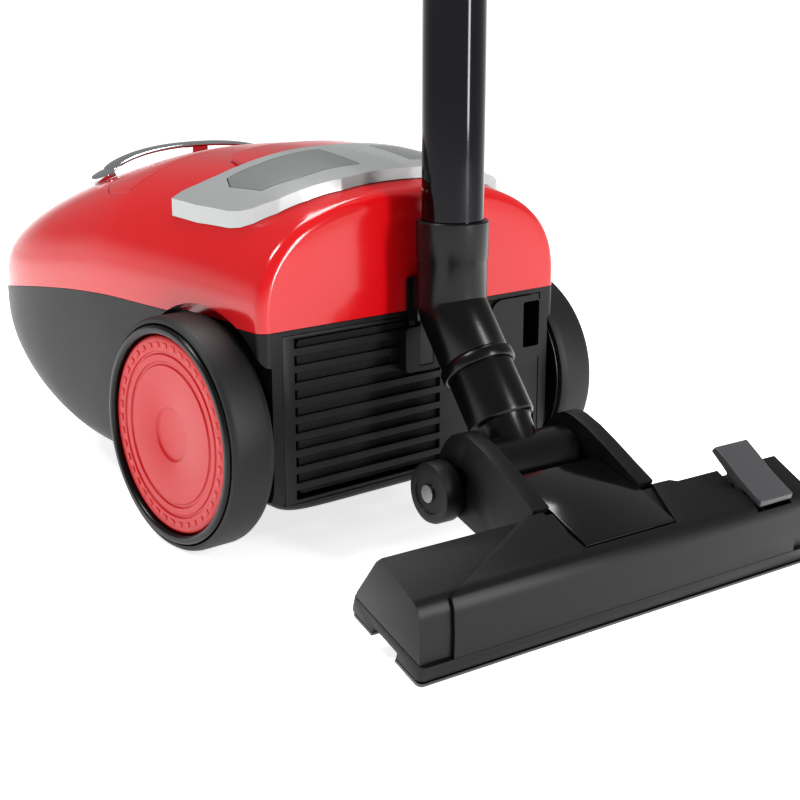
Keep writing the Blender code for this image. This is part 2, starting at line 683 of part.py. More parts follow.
# ---------------------------------------------------------------- inside the canister
def make_motor():
    """Motor can with the turning rotor and fan, its rubber mount and the motor filter."""
    length = MOTOR_FRONT - MOTOR_BACK
    start = (MOTOR_X, MOTOR_BACK, MOTOR_Z)
    r, t = MOTOR_RADIUS, 0.0018
    profile = [(0.010, 0), (0.030, 0), (0.032, 0.020), (r, 0.030), (r, length), (0.016, length),
               (0.016, length - t), (r - t, length - t), (r - t, 0.031), (0.030, 0.022),
               (0.0285, t), (0.010, t)]
    finish(turned("motor_housing", profile, start, (0, 1, 0), ROUND), vacuum, STEEL, 0.4, 0.9)
    profile = [(0, -0.003), (0.0030, -0.003), (0.0030, 0.010), (0.020, 0.012), (0.020, 0.040),
               (0.0060, 0.042), (0.0060, length - 0.020), (0.037, length - 0.018),
               (0.037, length - 0.008), (0.010, length - 0.006), (0, length - 0.004)]
    rotor = turned("motor_rotor", profile, start, (0, 1, 0), SMALL)
    finish(rotor, vacuum, COPPER, 0.4, 0.8, pivot=start)
    profile = [(r + GAP, length - 0.014), (r + GAP, length - 0.004), (r + 0.0045, length - 0.005),
               (r + 0.0045, length - 0.013)]
    finish(turned("motor_mount", profile, start, (0, 1, 0), ROUND), vacuum, DARK, 0.9)
    sheet = block("motor_filter", (-0.085, 0.085), (0.072, 0.080), (0.040, 0.150), 0.010, "Y")
    finish(sheet, vacuum, PALE, 0.9)


def make_reel():
    """Cord reel on its spindle, and the brake lever that lets it rewind."""
    start = (REEL_X, REEL_Y, REEL_Z)
    half, bore = REEL_WIDTH / 2, 0.0055
    profile = [(bore, -half), (REEL_RADIUS, -half), (REEL_RADIUS, -half + 0.002), (0.024, -half + 0.003),
               (0.024, half - 0.003), (REEL_RADIUS, half - 0.002), (REEL_RADIUS, half), (bore, half)]
    finish(turned("cord_reel", profile, start, (1, 0, 0), ROUND), vacuum, GREY, 0.6, pivot=start)
    spindle = rod("reel_spindle", 0.0052, (REEL_X - half - 0.002, REEL_Y, REEL_Z), (1, 0, 0),
                  REEL_WIDTH + 0.006, 16)
    finish(spindle, vacuum, STEEL, 0.3, 1.0)
    lever_z = REEL_Z + REEL_RADIUS
    lever = block("brake_lever", (REEL_X - 0.005, REEL_X + 0.005), (REEL_Y - 0.022, REEL_Y + 0.022),
                  (lever_z + 0.002, lever_z + 0.006), 0.002)
    finish(lever, vacuum, GREY, 0.6, pivot=(REEL_X, REEL_Y + 0.020, lever_z + 0.004))


def make_electrics():
    """Circuit board and the power switch under the left pedal."""
    board = block("circuit_board", (-0.085, -0.010), (-0.020, 0.050), (0.1400, 0.1416), 0.002)
    finish(board, vacuum, GREEN, 0.5)
    switch = block("power_switch", (-0.062, -0.042), (SWITCH_Y - 0.012, SWITCH_Y + 0.012),
                   (0.1420, 0.1660), 0.002)
    finish(switch, vacuum, DARK, 0.5)


def make_dust_bay():
    """Paper dust bag with its collar plate, and the hose socket with its seal."""
    rings = []
    for step in range(13):
        share = math.cos(math.pi * (step + 0.35) / 12.7)
        size = (1 - abs(share) ** 2.6) ** (1 / 2.6)
        ring = []
        for k in range(20):
            angle = 2 * math.pi * k / 20
            c, s = math.cos(angle), math.sin(angle)
            ring.append((0.076 * size * math.copysign(abs(c) ** 0.7, c), 0.158 - 0.070 * share,
                         0.112 + 0.052 * size * math.copysign(abs(s) ** 0.7, s)))
        rings.append(ring)
    finish(loft("dust_bag", rings), vacuum, PALE, 0.95)
    centre = socket_point(-0.066)
    collar = block("bag_collar", (-0.036, 0.036), (centre.y - 0.003, centre.y),
                   (centre.z - 0.036, centre.z + 0.036), 0.006, "Y")
    cut(collar, rod("mouth", SOCKET_BORE, (0, centre.y - 0.01, centre.z), (0, 1, 0), 0.02, SMALL))
    finish(collar, vacuum, PALE, 0.8)
    profile = [(SOCKET_BORE, -0.046), (0.0200, -0.046), (0.0200, -0.0105), (0.0240, -0.0095),
               (0.0240, 0.0030), (0.0225, 0.0045), (SOCKET_BORE + 0.001, 0.0045), (SOCKET_BORE, 0.0035)]
    finish(turned("hose_socket", profile, socket_point(0), socket_axis(), SMALL), vacuum, DARK, 0.4)
    ring = SOCKET_BORE - GAP
    profile = [(ring - 0.0020, -0.012), (ring, -0.012), (ring, -0.007), (ring - 0.0020, -0.008)]
    finish(turned("hose_seal", profile, socket_point(0), socket_axis(), SMALL), vacuum, DARK, 0.9)


# ---------------------------------------------------------------- tube, elbow and neck
TUBE_Y = REAR_Y - TUBE_OFFSET
wand = empty("wand_axis", vacuum, (0, TUBE_Y, 0), (0, 0, HEAD_YAW))
NECK_AXIS = Vector((0, -math.sin(NECK_LEAN), -math.cos(NECK_LEAN)))
KINK = Vector((0, 0, KINK_Z))
PIVOT_Z = PIVOT_S * math.sin(HEAD_TILT) + PIVOT_H * math.cos(HEAD_TILT)
PIVOT_ALONG = (KINK_Z - PIVOT_Z) / math.cos(NECK_LEAN)
PIVOT = KINK + NECK_AXIS * PIVOT_ALONG


def make_tubes():
    """Telescopic tube: chrome outer tube, inner tube, clamp sleeve and its release button."""
    bore = TUBE_RADIUS - TUBE_WALL
    profile = [(bore, TUBE_LOW), (TUBE_RADIUS, TUBE_LOW), (TUBE_RADIUS, TUBE_HIGH), (bore, TUBE_HIGH)]
    finish(turned("lower_tube", profile, (0, 0, 0), (0, 0, 1), ROUND), wand, STEEL, 0.08, 1.0)
    r = INNER_TUBE_RADIUS
    profile = [(r - TUBE_WALL, INNER_TUBE_LOW), (r, INNER_TUBE_LOW), (r, INNER_TUBE_HIGH),
               (r - TUBE_WALL, INNER_TUBE_HIGH)]
    upper = turned("upper_tube", profile, (0, 0, 0), (0, 0, 1), SMALL)
    finish(upper, wand, STEEL, 0.1, 1.0)
    sleeve_low, sleeve_high = TUBE_HIGH - 0.022, TUBE_HIGH + 0.050
    outside = TUBE_RADIUS + 0.0042
    profile = [(TUBE_RADIUS + GAP, sleeve_low), (outside - 0.001, sleeve_low), (outside, sleeve_low + 0.002),
               (outside, sleeve_high - 0.006), (outside - 0.0025, sleeve_high), (r + GAP, sleeve_high),
               (r + GAP, TUBE_HIGH + GAP), (TUBE_RADIUS + GAP, TUBE_HIGH + GAP)]
    clamp = turned("tube_clamp", profile, (0, 0, 0), (0, 0, 1), ROUND)
    pocket = ((-0.0075, 0.0075), (-outside - 0.01, -outside + 0.0022), (TUBE_HIGH + 0.006, TUBE_HIGH + 0.038))
    cut(clamp, block("pocket", *pocket, 0.002, "Y"))
    finish(clamp, wand, DARK, 0.4)
    button = block("clamp_button", (-0.0070, 0.0070), (-outside - 0.0022, -outside + 0.0019),
                   (TUBE_HIGH + 0.0066, TUBE_HIGH + 0.0310), 0.002, "Y")
    finish(button, wand, GREY, 0.5, pivot=(0, -outside, TUBE_HIGH + 0.018))


def make_elbow():
    """Elbow that takes the tube, its swivel ring, and the hook that parks it on the canister."""
    bend = 0.016
    path = [Vector((0, 0, ELBOW_TOP)), Vector((0, 0, ELBOW_TOP - 0.0025)), Vector((0, 0, TUBE_LOW - GAP)),
            Vector((0, 0, TUBE_LOW - GAP - 0.0006))]
    reach = bend * math.tan(NECK_LEAN / 2)
    for step in range(5):
        angle = NECK_LEAN * step / 4
        path.append(Vector((0, -bend * (1 - math.cos(angle)), KINK_Z + reach - bend * math.sin(angle))))
    path.append(KINK + NECK_AXIS * ELBOW_LEG)
    seat = TUBE_RADIUS + GAP
    radii = [ELBOW_RADIUS - 0.0008] + [ELBOW_RADIUS] * (len(path) - 2) + [ELBOW_RADIUS - 0.001]
    bores = [seat, seat, seat] + [SPIGOT_RADIUS + FIT] * 7
    finish(pipe("elbow", path, radii, bores, SMALL), wand, DARK, 0.35)
    start = KINK + NECK_AXIS * (ELBOW_LEG + GAP)
    profile = [(NECK_RADIUS + GAP, 0), (0.0212, 0), (0.0218, 0.0012), (0.0218, 0.0058), (0.0212, 0.007),
               (NECK_RADIUS + GAP, 0.007)]
    finish(turned("swivel_ring", profile, start, NECK_AXIS, SMALL), wand, DARK, 0.35)
    back = REAR_Y - 2 * GAP
    hook = block("parking_hook", (-HOOK_HALF_WIDTH, HOOK_HALF_WIDTH), (back - HOOK_THICKNESS, back),
                 (BRACKET_LOW + 0.0036, KINK_Z + 0.014), 0.002, "Y", 2)
    join(hook, block("stalk", (-0.0050, 0.0050), (back - 0.0046, back - HOOK_THICKNESS + 0.001),
                     (BRACKET_LOW + 0.0036, KINK_Z + 0.012)))
    join(hook, block("saddle", (-0.010, 0.010), (back - 0.010, back - 0.001),
                     (BRACKET_HIGH + 0.004, KINK_Z + 0.014)))
    cut(hook, rod("tube_space", ELBOW_RADIUS + GAP, (0, TUBE_Y, 0.10), (0, 0, 1), 0.06, ROUND))
    cut(hook, rod("neck_space", ELBOW_RADIUS + GAP, Vector((0, TUBE_Y, KINK_Z)), NECK_AXIS, 0.06, ROUND))
    finish(hook, vacuum, DARK, 0.4)


def make_neck():
    """Swivel neck: a spigot in the elbow, the neck tube, and the barrel that the head pitches on."""
    t0 = ELBOW_LEG - 0.016
    seam = ELBOW_LEG + GAP
    wide_end = ELBOW_LEG + 0.040
    profile = [(0.0128, t0), (SPIGOT_RADIUS, t0), (SPIGOT_RADIUS, seam), (NECK_RADIUS, seam),
               (NECK_RADIUS, wide_end - 0.001), (NECK_RADIUS - 0.001, wide_end), (0.0168, wide_end),
               (0.0150, PIVOT_ALONG - 0.008), (0.0128, PIVOT_ALONG - 0.008)]
    neck = turned("swivel_neck", profile, KINK, NECK_AXIS, SMALL)
    barrel_half = CHEEK_INSIDE - 0.0006
    barrel = rod("barrel", BARREL_RADIUS, PIVOT - Vector((barrel_half, 0, 0)), (1, 0, 0),
                 2 * barrel_half, SMALL)
    trunnion = rod("trunnion", 0.0060, PIVOT - Vector((CHEEK_OUTSIDE - 0.003, 0, 0)), (1, 0, 0),
                   2 * CHEEK_OUTSIDE - 0.006, 16)
    join(barrel, trunnion)
    join(neck, barrel)
    cut(neck, rod("duct", 0.0127, KINK + NECK_AXIS * (PIVOT_ALONG - 0.030), NECK_AXIS, 0.032, SMALL))
    forward = Vector((0, -math.cos(HEAD_TILT), -math.sin(HEAD_TILT)))
    cut(neck, block_at("mouth", PIVOT, forward, 0.022, 0.0105, 0.030))
    finish(neck, wand, DARK, 0.4, pivot=PIVOT)


def block_at(name, origin, direction, half_x, half_h, length):
    """A box that starts at origin and runs along a direction in the Y-Z plane."""
    upward = Vector((1, 0, 0)).cross(direction)
    rings = []
    for along in (0.0, length):
        base = Vector(origin) + Vector(direction) * along
        rings.append([base + Vector((a * half_x, 0, 0)) + upward * (b * half_h)
                      for a, b in ((-1, -1), (1, -1), (1, 1), (-1, 1))])
    return loft(name, rings)


# ---------------------------------------------------------------- floor head
head = empty("head_pivot", wand, PIVOT, (HEAD_TILT, 0, 0))
HALF = HEAD_LENGTH / 2


def at(s, h):
    """Head coordinates: s back along the sole from the front edge, h above the sole."""
    return (s - PIVOT_S, h - PIVOT_H)


def head_profile(inset, bottom):
    """Side outline of the head: leaning front, rounded brow, rising top, leaning back."""
    foot = SOLE_HEIGHT + GAP
    points = [at(0.0006 + inset, bottom)] if bottom < foot else []
    points += [at(0.0006 + inset, foot), at(0.0040 + inset, 0.0230)]
    for step in range(5):
        angle = math.radians(168 - 72 * step / 4)
        brow = BROW_RADIUS - inset
        points.append(at(0.0190 + brow * math.cos(angle), 0.0280 + brow * math.sin(angle)))
    points += [at(0.0445, HEAD_HEIGHT - inset), at(0.0500 - inset, 0.0405 - inset),
               at(HEAD_DEPTH - 0.0005 - inset, 0.0135), at(HEAD_DEPTH - 0.0005 - inset, bottom)]
    return points


def head_block(name, x, s, h, radius=0.0):
    """A box given in head coordinates."""
    y = tuple(value - PIVOT_S for value in s)
    z = tuple(value - PIVOT_H for value in h)
    return block(name, x, y, z, radius)


def cover_plan(grow):
    """Floor plan of the front cover: full width in front, narrowing to the neck."""
    brow, narrow = HALF - 0.019 + grow, 0.046 + grow
    points = [(brow, -0.01), (brow, 0.012 + grow), (narrow, COVER_BACK + grow), (-narrow, COVER_BACK + grow),
              (-brow, 0.012 + grow), (-brow, -0.01)]
    return [(x, s - PIVOT_S) for x, s in points]


def pedal_recess(name, grow):
    """Space in the covers for the rocker pedal."""
    half = PEDAL_WIDTH / 2 + 0.0012 + grow
    return head_block(name, (PEDAL_X - half, PEDAL_X + half), (PEDAL_FRONT - 0.0015, PEDAL_BACK + 0.010),
                      (0.0330, 0.070))


def make_head_cover():
    """Upper cover of the head with the cheeks that carry the neck's barrel and the wheels."""
    low = SOLE_HEIGHT + GAP
    cover = prism("head_cover", head_profile(COVER_STEP + GAP, low), "X", -HALF + 0.0008, HALF - 0.0008)
    front = COVER_BACK + 0.0008
    hump = [at(front, 0.030), at(front, 0.0447), at(0.106, 0.0530), at(0.114, 0.0510), at(0.123, 0.0400),
            at(0.1255, 0.0260), at(0.121, 0.0120), at(0.112, 0.0060), at(HEAD_DEPTH + 0.001, 0.0060),
            at(HEAD_DEPTH + 0.001, low), at(0.055, low)]
    join(cover, prism("hump", hump, "X", -CHEEK_OUTSIDE, CHEEK_OUTSIDE))
    wall = COVER_STEP + COVER_WALL
    cut(cover, prism("hollow", head_profile(wall, low - 0.01), "X", -HALF + 0.003, HALF - 0.003))
    cut(cover, head_block("neck_slot", (-CHEEK_INSIDE, CHEEK_INSIDE), (0.0605, 0.142), (-0.01, 0.070)))
    cut(cover, head_block("panel_recess", (-CHEEK_INSIDE, CHEEK_INSIDE), (0.0150, 0.0820), (0.0398, 0.070)))
    cut(cover, head_block("duct", (-0.024, 0.024), (0.040, 0.070), (0.0145, 0.0340)))
    hole = rod("trunnion_holes", 0.0063, (-0.06, 0, 0), (1, 0, 0), 0.12, 16)
    cut(cover, hole)
    cut(cover, pedal_recess("pedal_recess", 0.0))
    cut(cover, rod("pin_hole", 0.0021, (PEDAL_X - 0.018, *pedal_axis()), (1, 0, 0), 0.036, 12))
    finish(cover, head, DARK, 0.3)


def make_front_cover():
    """Proud front cover, narrowing to the neck, and the recessed panel between the cheeks."""
    low = SOLE_HEIGHT + GAP
    cover = prism("front_cover", head_profile(0.0, low), "X", -HALF + 0.0002, HALF - 0.0002)
    keep(cover, prism("plan", cover_plan(0.0), "Z", -0.060, 0.060))
    cut(cover, prism("under", head_profile(COVER_STEP, low - 0.005), "X", -HALF - 0.01, HALF + 0.01))
    near, far = 0.017 - PIVOT_S, 0.060 - PIVOT_S
    notch = [(-0.0316, near), (0.0316, near), (0.0425, far), (-0.0425, far)]
    cut(cover, prism("notch", notch, "Z", 0.030 - PIVOT_H, 0.080 - PIVOT_H))
    cut(cover, pedal_recess("pedal_recess", 0.0004))
    finish(cover, head, DARK, 0.3)
    inside = CHEEK_INSIDE - FIT
    outline = [at(0.0178, 0.0401), at(0.0178, 0.0412), at(0.0450, 0.0432), at(0.0788, 0.0424),
               at(0.0810, 0.0401)]
    panel = prism("centre_panel", outline, "X", -inside, inside)
    finish(panel, head, GREY, 0.15)


def make_head_base():
    """Base with the suction slot, the sole plate under it, and two thread lifters."""
    edge = HALF - 0.0008
    sole_top = 0.0016
    base = head_block("head_base", (-edge, edge), (0.0006, HEAD_DEPTH), (sole_top + GAP, SOLE_HEIGHT), 0.003)
    cut(base, head_block("mouth", (-0.118, 0.118), (0.0230, 0.0370), (-0.01, 0.02), 0.002))
    cut(base, head_block("brush_slot", (-0.124, 0.124), (0.0085, 0.0145), (-0.01, 0.02)))
    for side in (-1, 1):
        ends = tuple(sorted((side * (HALF - 0.012), side * (HALF + 0.01))))
        cut(base, head_block("edge_notch", ends, (0.020, 0.040), (-0.01, 0.0052)))
    finish(base, head, DARK, 0.4)
    sole = head_block("sole_plate", (-edge, edge), (0.0, HEAD_DEPTH - 0.002), (0.0, sole_top), 0.003)
    cut(sole, head_block("mouth", (-0.117, 0.117), (0.0225, 0.0375), (-0.01, 0.02), 0.002))
    cut(sole, head_block("brush_slot", (-0.124, 0.124), (0.0085, 0.0145), (-0.01, 0.02)))
    for side in (-1, 1):
        ends = tuple(sorted((side * (HALF - 0.012), side * (HALF + 0.01))))
        cut(sole, head_block("edge_notch", ends, (0.020, 0.040), (-0.01, 0.0100)))
        cut(sole, head_block("lifter_seat", tuple(sorted((side * 0.070, side * 0.112))),
                             (0.0420, 0.0500), (-0.01, 0.02), 0.0015))
        lifter = head_block(("left" if side < 0 else "right") + "_thread_lifter",
                            tuple(sorted((side * 0.0705, side * 0.1115))), (0.0424, 0.0496),
                            (0.0001, sole_top), 0.0012)
        finish(lifter, head, RED, 0.9)
    finish(sole, head, STEEL, 0.2, 1.0)


def pedal_axis():
    """Where the rocker pedal turns, as (y, z) under the head's pivot."""
    return at(0.0330, 0.0380)


def make_rocker():
    """Rocker pedal with its pin, and the brush strip that it lowers."""
    y, z = pedal_axis()
    half = PEDAL_WIDTH / 2
    outline = [at(PEDAL_FRONT, 0.0385), at(PEDAL_FRONT, 0.0425), at(0.0300, 0.0465),
               at(PEDAL_BACK - 0.002, 0.0535), at(PEDAL_BACK, 0.0495), at(0.0400, 0.0440),
               at(0.0365, 0.0350), at(0.0295, 0.0350), at(0.0280, 0.0410)]
    pedal = prism("rocker_pedal", outline, "X", PEDAL_X - half, PEDAL_X + half)
    cut(pedal, rod("pin_hole", 0.0021, (PEDAL_X - 0.03, y, z), (1, 0, 0), 0.06, 12))
    finish(pedal, head, GREY, 0.5, pivot=(PEDAL_X, y, z))
    pin = rod("pedal_pin", 0.0018, (PEDAL_X - 0.0165, y, z), (1, 0, 0), 0.033, 12)
    finish(pin, head, STEEL, 0.3, 1.0, pivot=(PEDAL_X, y, z))
    strip = head_block("brush_strip", (-0.1232, 0.1232), (0.0090, 0.0140), (0.0004, 0.0130))
    finish(strip, head, DARK, 0.9)


def make_head_wheels():
    """Two small wheels on stub axles outside the cheeks."""
    y, z = at(HEAD_WHEEL_S, HEAD_WHEEL_RADIUS - 0.0012)
    r, w = HEAD_WHEEL_RADIUS, HEAD_WHEEL_WIDTH
    for side, label in ((-1, "left"), (1, "right")):
        start = (side * (CHEEK_OUTSIDE + 0.0012), y, z)
        profile = [(0.0033, 0), (r - 0.0015, 0), (r, 0.0015), (r, w - 0.0020), (r - 0.0020, w),
                   (r - 0.0055, w), (r - 0.0060, w - 0.0010), (0.0033, w - 0.0010)]
        wheel = turned(label + "_head_wheel", profile, start, (side, 0, 0), SMALL)
        finish(wheel, head, DARK, 0.5, pivot=start)
        profile = [(0, -0.0009), (0.0050, -0.0009), (0.0050, -0.0003), (0.0030, -0.0003),
                   (0.0030, w - 0.0006), (0.0050, w - 0.0006), (0.0050, w + 0.0006), (0, w + 0.0006)]
        axle = turned(label + "_head_axle", profile, start, (side, 0, 0), 12)
        finish(axle, head, STEEL, 0.3, 1.0, pivot=start)


# ---------------------------------------------------------------- build
make_lower_housing()
make_upper_shell()
make_lid()
make_band()
make_handle()
make_rear_panel()
make_rear_wheels()
make_castor()
make_motor()
make_reel()
make_electrics()
make_dust_bay()
make_tubes()
make_elbow()
make_neck()
make_head_cover()
make_front_cover()
make_head_base()
make_rocker()
make_head_wheels()

# ---------------------------------------------------------------- centre the whole object over the origin
bpy.context.view_layer.update()
corners = [item.matrix_world @ vertex.co
           for item in bpy.data.objects if item.type == "MESH" for vertex in item.data.vertices]
middle_x = (min(c.x for c in corners) + max(c.x for c in corners)) / 2
middle_y = (min(c.y for c in corners) + max(c.y for c in corners)) / 2
vacuum.location = (-middle_x, -middle_y, 0)
bpy.context.view_layer.update()
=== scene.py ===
# %% [markdown]
# # Canister vacuum cleaner with its tube and floor head parked behind it
# The imported model gives every body, joint and size. This lesson models the surfaces that the eye
# sees, finer than the faceted frame, and gives each of them the finish of the real material, except
# that the tube and the exhaust filter are coloured dark as painted reflection and painted shade.

# %% Load the frame
import json
import math

import bpy
from mathutils import Matrix, Vector


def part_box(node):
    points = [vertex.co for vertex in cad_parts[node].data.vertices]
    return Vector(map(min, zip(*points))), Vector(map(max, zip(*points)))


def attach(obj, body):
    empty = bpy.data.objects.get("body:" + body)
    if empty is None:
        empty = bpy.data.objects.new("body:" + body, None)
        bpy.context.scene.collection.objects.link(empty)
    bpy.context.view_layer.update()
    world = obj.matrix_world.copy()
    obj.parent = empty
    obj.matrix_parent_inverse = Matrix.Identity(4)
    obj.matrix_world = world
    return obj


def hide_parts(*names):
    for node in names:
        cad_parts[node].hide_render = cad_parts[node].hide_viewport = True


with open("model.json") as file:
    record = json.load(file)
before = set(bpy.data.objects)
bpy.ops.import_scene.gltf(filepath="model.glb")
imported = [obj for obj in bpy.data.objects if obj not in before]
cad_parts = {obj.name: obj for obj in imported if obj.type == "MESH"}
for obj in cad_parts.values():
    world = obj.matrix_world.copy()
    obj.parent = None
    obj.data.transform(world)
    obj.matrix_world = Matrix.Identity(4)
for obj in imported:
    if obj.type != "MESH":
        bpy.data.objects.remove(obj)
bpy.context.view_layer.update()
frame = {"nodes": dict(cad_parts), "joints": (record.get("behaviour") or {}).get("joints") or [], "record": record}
cad_nodes = frame["nodes"]
joints = {joint["name"]: joint for joint in frame["joints"]}

# %% [markdown]
# Everything is placed from the frame. The rear wheels' axis is the canister's own zero, so a point
# measured from there is moved by the two offsets below. The tube's axis is a second zero, turned by
# the few degrees that the parked head is yawed, and the head's pivot is a third, tilted with it.

# %% The three zeros
left_axis = Vector(joints["left_wheel_spin"]["pos_m"])
right_axis = Vector(joints["right_wheel_spin"]["pos_m"])
BODY = Matrix.Translation(((left_axis.x + right_axis.x) / 2, left_axis.y, 0))
head_across = Vector(joints["head_pitch"]["axis"])
YAW = math.atan2(head_across.y, head_across.x)
tube_low, tube_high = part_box("lower_tube")
WAND = Matrix.Translation(((tube_low.x + tube_high.x) / 2, (tube_low.y + tube_high.y) / 2, 0)) @ \
    Matrix.Rotation(YAW, 4, "Z")
PIVOT = WAND.inverted() @ Vector(joints["head_pitch"]["pos_m"])
lean = WAND.to_3x3().inverted() @ Vector(joints["neck_swivel"]["axis"])
NECK_AXIS = -lean.normalized()
HEAD_TILT = math.radians(17.4)
HEAD = WAND @ Matrix.Translation(PIVOT) @ Matrix.Rotation(HEAD_TILT, 4, "X")
WHEEL_RADIUS = left_axis.z
print("yaw", math.degrees(YAW), "pivot", PIVOT, "wheel radius", WHEEL_RADIUS)

# %% [markdown]
# Small tools come first. One turns a screen colour into linear light, and one adds a shader node.
# The camera stands low behind the canister's left rear wheel and looks a little down.
# The sky is white at eye level, for a white background, and dim overhead, so black plastic stays
# black; the floor glows a little, as a lit paper sweep does.

# %% Colour and shader tools
def srgb(code):
    """A linear colour from a hex code."""
    parts = [int(code[i:i + 2], 16) / 255 for i in (1, 3, 5)]
    return (*[c / 12.92 if c <= 0.04045 else ((c + 0.055) / 1.055) ** 2.4 for c in parts], 1.0)


def add_node(tree, kind, settings=None, links=None):
    """Add a node, set its fields and sockets, and link sockets to it."""
    node = tree.nodes.new(kind)
    for key, value in (settings or {}).items():
        if hasattr(node, key):
            setattr(node, key, value)
        else:
            node.inputs[key].default_value = value
    for key, source in (links or {}).items():
        tree.links.new(source, node.inputs[key])
    return node


# %% Camera, floor and light
camera_data = bpy.data.cameras.new("camera")
camera_data.sensor_width = 36
camera_data.lens = 64.0
camera_data.clip_start = 0.01
camera = bpy.data.objects.new("camera", camera_data)
bpy.context.scene.collection.objects.link(camera)
camera.location = BODY @ Vector((-0.5421, -0.6697, 0.2963))
camera.rotation_euler = (math.radians(74.89), 0, math.radians(-40.65))
bpy.context.scene.camera = camera
bpy.context.scene.view_settings.view_transform = "Standard"
bpy.context.scene.view_settings.look = "Medium High Contrast"

world = bpy.data.worlds.new("white_studio")
bpy.context.scene.world = world
world.use_nodes = True
tree = world.node_tree
sky = tree.nodes["Background"]
sky.inputs["Color"].default_value = srgb("#FFFFFF")
ray = add_node(tree, "ShaderNodeTexCoord")
height = add_node(tree, "ShaderNodeSeparateXYZ", {}, {"Vector": ray.outputs["Generated"]})
HORIZON, OVERHEAD = 1.0, 0.30     # sky strength at eye level and above
dim = add_node(tree, "ShaderNodeMapRange",
               {"From Min": 0.02, "From Max": 0.20, "To Min": HORIZON, "To Max": OVERHEAD},
               {"Value": height.outputs["Z"]})
tree.links.new(dim.outputs["Result"], sky.inputs["Strength"])

floor_material = bpy.data.materials.new("pale_floor")
floor_material.use_nodes = True
floor_shader = floor_material.node_tree.nodes["Principled BSDF"]
floor_shader.inputs["Base Color"].default_value = srgb("#FAFAFA")
floor_shader.inputs["Roughness"].default_value = 0.6
floor_shader.inputs["Emission Color"].default_value = srgb("#FFFFFF")
floor_shader.inputs["Emission Strength"].default_value = 0.62
bpy.ops.mesh.primitive_plane_add(size=200, location=(0, 0, -0.0006))
floor = bpy.context.object
floor.name = "floor"
floor.data.materials.append(floor_material)


def add_light(name, location, target, size, power):
    """A soft rectangular light aimed at a point."""
    data = bpy.data.lights.new(name, "AREA")
    data.size = size
    data.energy = power
    light = bpy.data.objects.new(name, data)
    bpy.context.scene.collection.objects.link(light)
    light.location = location
    light.rotation_euler = (Vector(target) - Vector(location)).to_track_quat("-Z", "Y").to_euler()
    return light


add_light("key", (-1.3, 0.5, 2.3), (0, 0.05, 0.1), 0.7, 30)
add_light("top", (0.5, 0.6, 2.4), (0, 0.1, 0.1), 1.0, 26)
strip = add_light("strip", (0.45, -2.20, 0.80), (0, -0.12, 0.45), 0.30, 30)
strip.data.shape = "RECTANGLE"
strip.data.size_y = 1.5

# %% [markdown]
# The finishes. Nearly all of the object is injection-moulded ABS: polished moulds give the red
# shell its gloss, spark-eroded moulds give the black parts their fine grain. A plastic has no
# colour of its own at the surface, so metallic stays 0 and the IOR of ABS, 1.54, makes the shine.
# Grain and flow marks come from noise whose scale is worked out from millimetres.

# %% Finish maker
def finish(name, colour, roughness, metallic=0.0, ior=1.54, coat=0.0, grain_mm=0.9, grain=0.02,
           flow=0.04, spread=0.05):
    """A Principled material with fine grain in its bump and slow variation in colour and gloss."""
    material = bpy.data.materials.new(name)
    material.use_nodes = True
    tree = material.node_tree
    shader = tree.nodes["Principled BSDF"]
    shader.inputs["Metallic"].default_value = metallic
    if metallic < 0.5:
        shader.inputs["IOR"].default_value = ior
    shader.inputs["Coat Weight"].default_value = coat
    place = add_node(tree, "ShaderNodeTexCoord")
    slow = add_node(tree, "ShaderNodeTexNoise", {"Scale": 1 / 0.045, "Detail": 3.0},
                    {"Vector": place.outputs["Object"]})
    light, dark = srgb(colour), tuple(c * (1 - flow) for c in srgb(colour)[:3]) + (1.0,)
    tint = add_node(tree, "ShaderNodeMix", {"data_type": "RGBA"}, {"Factor": slow.outputs["Fac"]})
    tint.inputs["A"].default_value = dark
    tint.inputs["B"].default_value = light
    tree.links.new(tint.outputs["Result"], shader.inputs["Base Color"])
    gloss = add_node(tree, "ShaderNodeMapRange",
                     {"To Min": max(roughness - spread, 0.02), "To Max": roughness + spread},
                     {"Value": slow.outputs["Fac"]})
    tree.links.new(gloss.outputs["Result"], shader.inputs["Roughness"])
    fine = add_node(tree, "ShaderNodeTexNoise", {"Scale": 1000 / grain_mm, "Detail": 2.0},
                    {"Vector": place.outputs["Object"]})
    bump = add_node(tree, "ShaderNodeBump", {"Strength": grain, "Distance": 0.0004},
                    {"Height": fine.outputs["Fac"]})
    tree.links.new(bump.outputs["Normal"], shader.inputs["Normal"])
    return material


# %% Finishes of the canister and the head
red_abs = finish("polished_red_abs", "#C41219", 0.17, grain_mm=3.0, grain=0.01, flow=0.05, coat=0.25)
hub_abs = finish("satin_red_abs", "#B9161C", 0.34, grain_mm=0.9, grain=0.05)
black_abs = finish("grained_black_abs", "#121213", 0.40, ior=1.38, grain_mm=0.8, grain=0.10)
satin_abs = finish("satin_black_abs", "#0C0C0D", 0.26, ior=1.40, grain_mm=0.9, grain=0.03)
gloss_abs = finish("gloss_black_abs", "#0E0E0F", 0.12, grain_mm=2.0, grain=0.01)
silver_abs = finish("silver_lacquered_abs", "#B4B6B6", 0.26, metallic=0.5, grain_mm=0.4, grain=0.02)
rocker_abs = finish("satin_grey_abs", "#48484A", 0.34, grain_mm=0.6, grain=0.03)
pedal_abs = finish("grey_lacquered_abs", "#8B8D8D", 0.32, metallic=0.5, grain_mm=0.4, grain=0.03)
rubber = finish("moulded_rubber", "#101011", 0.55, ior=1.5, grain_mm=1.0, grain=0.08)
nylon = finish("grey_nylon", "#505153", 0.45, grain_mm=0.9, grain=0.06)
chrome = finish("bright_chrome", "#C9CBCC", 0.08, metallic=1.0, grain_mm=4.0, grain=0.004, spread=0.02)
